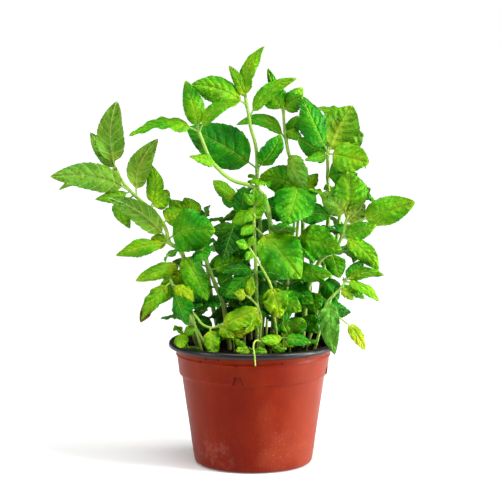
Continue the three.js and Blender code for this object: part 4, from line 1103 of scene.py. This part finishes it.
def drain_tool(number):
    """The rod that cuts a drain hole through the pot's base."""
    a = 2 * math.pi * (number + 0.5) / DRAIN_HOLES
    middle = np.array([DRAIN_PLACE * math.cos(a), DRAIN_PLACE * math.sin(a), 0])
    turns = [2 * math.pi * c / DRAIN_SIDES for c in range(DRAIN_SIDES)]
    ring = [(DRAIN_RADIUS * math.cos(t), DRAIN_RADIUS * math.sin(t)) for t in turns]
    corners = [(middle + (x, y, z)) * MM for z in (-2, 4) for x, y in ring]
    low, high = list(range(DRAIN_SIDES)), list(range(DRAIN_SIDES, 2 * DRAIN_SIDES))
    walls = [(c, (c + 1) % DRAIN_SIDES, high[(c + 1) % DRAIN_SIDES], high[c]) for c in low]
    return mesh_object(f"drain_{number}", corners, [low[::-1], high, *walls])


def darkness(face):
    """How black a face of the pot is: the rim and the inside, and the cheeks of the notches by half as
    painted shade.
    """
    x, y, z = face.center / MM
    r = math.hypot(x, y)
    facing_in = face.normal.x * x + face.normal.y * y < -0.3 * r
    # Painted shade in the cheeks of the notches
    notch_cheek_shade = abs(face.normal.y * x - face.normal.x * y) > 0.4 * r and 67 < z < 77 and r < 58.5
    if z > POT_BLACK_FROM or (facing_in and z > 1.2 and r > 30):
        return 0.95 if facing_in else 1.0
    return 0.55 if notch_cheek_shade else 0.0


def pot_piece(material):
    """The pot, turned from its profile, with its notches and drain holes cut out."""
    rings = POT_PROFILE[1:-1]
    turns = [2 * math.pi * i / POT_RINGS for i in range(POT_RINGS)]
    points = [(r * MM * math.cos(a), r * MM * math.sin(a), z * MM) for r, z in rings for a in turns]
    points += [(0, 0, POT_PROFILE[0][1] * MM), (0, 0, POT_PROFILE[-1][1] * MM)]
    obj = mesh_object("fine_pot", points, closed_rings(len(rings), POT_RINGS), material)
    cutters = [notch_tool(i) for i in range(4)] + [drain_tool(i) for i in range(DRAIN_HOLES)]
    for tool in cutters:
        modifier = obj.modifiers.new(tool.name, "BOOLEAN")
        modifier.operation = "DIFFERENCE"
        modifier.solver = "EXACT"
        modifier.object = tool
    bpy.context.view_layer.update()
    shaped = bpy.data.meshes.new_from_object(obj.evaluated_get(bpy.context.evaluated_depsgraph_get()))
    obj.modifiers.clear()
    obj.data = shaped
    for tool in cutters:
        bpy.data.objects.remove(tool)
    dark = shaped.attributes.new("black_and_painted_shade", "FLOAT", "FACE")
    dark.data.foreach_set("value", [darkness(face) for face in shaped.polygons])
    shaped.set_sharp_from_angle(angle=math.radians(POT_SHARP_ANGLE))
    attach(obj, "root")
    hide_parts("pot")


def plane_noise(x, y, scale, seed):
    """Smooth seeded noise over the plane."""
    table = np.random.default_rng(seed).uniform(-1, 1, (64, 64))
    u, v = x / scale + 20, y / scale + 20
    i, j = np.floor(u).astype(int), np.floor(v).astype(int)
    a, b = u - i, v - j
    a, b = a * a * (3 - 2 * a), b * b * (3 - 2 * b)
    i, j, i1, j1 = i % 64, j % 64, (i + 1) % 64, (j + 1) % 64
    low = table[i, j] * (1 - a) + table[i1, j] * a
    high = table[i, j1] * (1 - a) + table[i1, j1] * a
    return low * (1 - b) + high * b


def ball():
    """The points and faces of a regular solid with twenty faces."""
    g = (1 + 5**0.5) / 2
    points = [
        (-1, g, 0), (1, g, 0), (-1, -g, 0), (1, -g, 0), (0, -1, g), (0, 1, g), (0, -1, -g), (0, 1, -g),
        (g, 0, -1), (g, 0, 1), (-g, 0, -1), (-g, 0, 1),
    ]
    faces = [
        (0, 11, 5), (0, 5, 1), (0, 1, 7), (0, 7, 10), (0, 10, 11), (1, 5, 9), (5, 11, 4), (11, 10, 2),
        (10, 7, 6), (7, 1, 8), (3, 9, 4), (3, 4, 2), (3, 2, 6), (3, 6, 8), (3, 8, 9), (4, 9, 5), (2, 4, 11),
        (6, 2, 10), (8, 6, 7), (9, 8, 1),
    ]
    return rows(np.array(points, float)), faces


def soil_piece(material):
    """The pot's filling, lumpy on top and strewn with crumbs."""
    radii = SOIL_RADIUS * np.linspace(0, 1, SOIL_RINGS + 1)[1:] ** 0.9
    angles = 2 * math.pi * np.arange(SOIL_AROUND) / SOIL_AROUND
    r, a = np.meshgrid(radii, angles, indexing="ij")
    x, y = r * np.cos(a), r * np.sin(a)
    z = soil_height(x, y)
    for height, scale, seed in ((0.9, 6.0, 3), (0.7, 2.7, 4), (0.45, 1.4, 5)):
        z = z + height * plane_noise(x, y, scale, seed)
    z = z - 1.2 * np.clip((r - 52) / 4, 0, 1) ** 2
    top = np.stack([x, y, z], -1).reshape(-1, 3)
    sides = [(55.9, 84.2), (52.6, 68), (43.2, 5.2), (41.2, 2.9), (39.2, 2.0)]
    lower = [(out * math.cos(t), out * math.sin(t), height) for out, height in sides for t in angles]
    ends = [(0, 0, float(soil_height(0.0, 0.0))), (0, 0, sides[-1][1])]
    points = [np.vstack([top, lower, ends]) * MM]
    faces = [(face[0], *reversed(face[1:])) for face in closed_rings(SOIL_RINGS + len(sides), SOIL_AROUND)]
    count = len(points[0])
    random = np.random.default_rng(21)
    corners, triangles = ball()
    for _ in range(CRUMBS):
        away = CRUMB_FIELD * math.sqrt(random.uniform())
        angle = random.uniform(0, 2 * math.pi)
        x, y = away * math.cos(angle), away * math.sin(angle)
        size = random.uniform(0.4, 1.5) * (1 if random.uniform() > 0.08 else 1.5)
        squeeze = random.uniform(0.5, 1.2, 3)
        twist = random.uniform(0, 2 * math.pi)
        lump = corners * (1 + 0.25 * random.uniform(-1, 1, (len(corners), 1))) * size * squeeze
        c, s = math.cos(twist), math.sin(twist)
        lump = lump @ np.array([[c, s, 0], [-s, c, 0], [0, 0, 1]])
        points.append((lump + (x, y, float(soil_height(x, y)) + 0.25 * size)) * MM)
        faces += [tuple(v + count for v in face) for face in triangles]
        count += len(lump)
    obj = mesh_object("fine_soil", np.vstack(points), faces, material)
    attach(obj, "root")
    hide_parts("soil")


def area_light(name, place, target, size, watts):
    data = bpy.data.lights.new(name, "AREA")
    data.shape = "DISK"
    data.size = size
    data.energy = watts
    obj = bpy.data.objects.new(name, data)
    obj.location = place
    obj.rotation_euler = (Vector(target) - Vector(place)).to_track_quat("-Z", "Y").to_euler()
    bpy.context.scene.collection.objects.link(obj)


def studio():
    """The camera, a dim white world, four lights and a floor."""
    scene = bpy.context.scene
    lens = bpy.data.cameras.new("camera")
    lens.sensor_width = SENSOR
    lens.lens = FOCAL_PIXELS / PHOTO_PIXELS * SENSOR
    lens.clip_end = 200
    camera = bpy.data.objects.new("camera", lens)
    camera.location = CAMERA_PLACE
    camera.rotation_euler = (math.radians(90 - CAMERA_TILT), 0, 0)
    scene.collection.objects.link(camera)
    scene.camera = camera
    world = bpy.data.worlds.new("soft_studio")
    world.use_nodes = True
    sky = world.node_tree.nodes["Background"].inputs
    sky["Color"].default_value = (1, 1, 1, 1)
    sky["Strength"].default_value = 0.1
    scene.world = world
    scene.view_settings.view_transform = "Standard"
    for light in LIGHTS:
        area_light(*light)
    square = ((-1, -1), (1, -1), (1, 1), (-1, 1))
    corners = [(x * FLOOR_HALF, y * FLOOR_HALF, -FLOOR_DROP) for x, y in square]
    floor = mesh_object("floor", corners, [(0, 1, 2, 3)], floor_material())


studio()
slots = {entry["node"]: entry["material_slot"] for entry in frame["record"]["subparts"]}
leans = {"leaf_bright": 0.0, "leaf_deep": -0.02, "leaf_yellow": 0.03, "leaf_olive": 0.02}
leaf_materials = {slot: leaf_material(slot, lean) for slot, lean in leans.items()}
pot_piece(pot_material())
soil_piece(soil_material())
for number, entry in enumerate(STEMS):
    slot = slots[entry[0]]
    piece = stem_piece(dict(zip(STEM_KEYS, entry)), number, leaf_materials[slot])
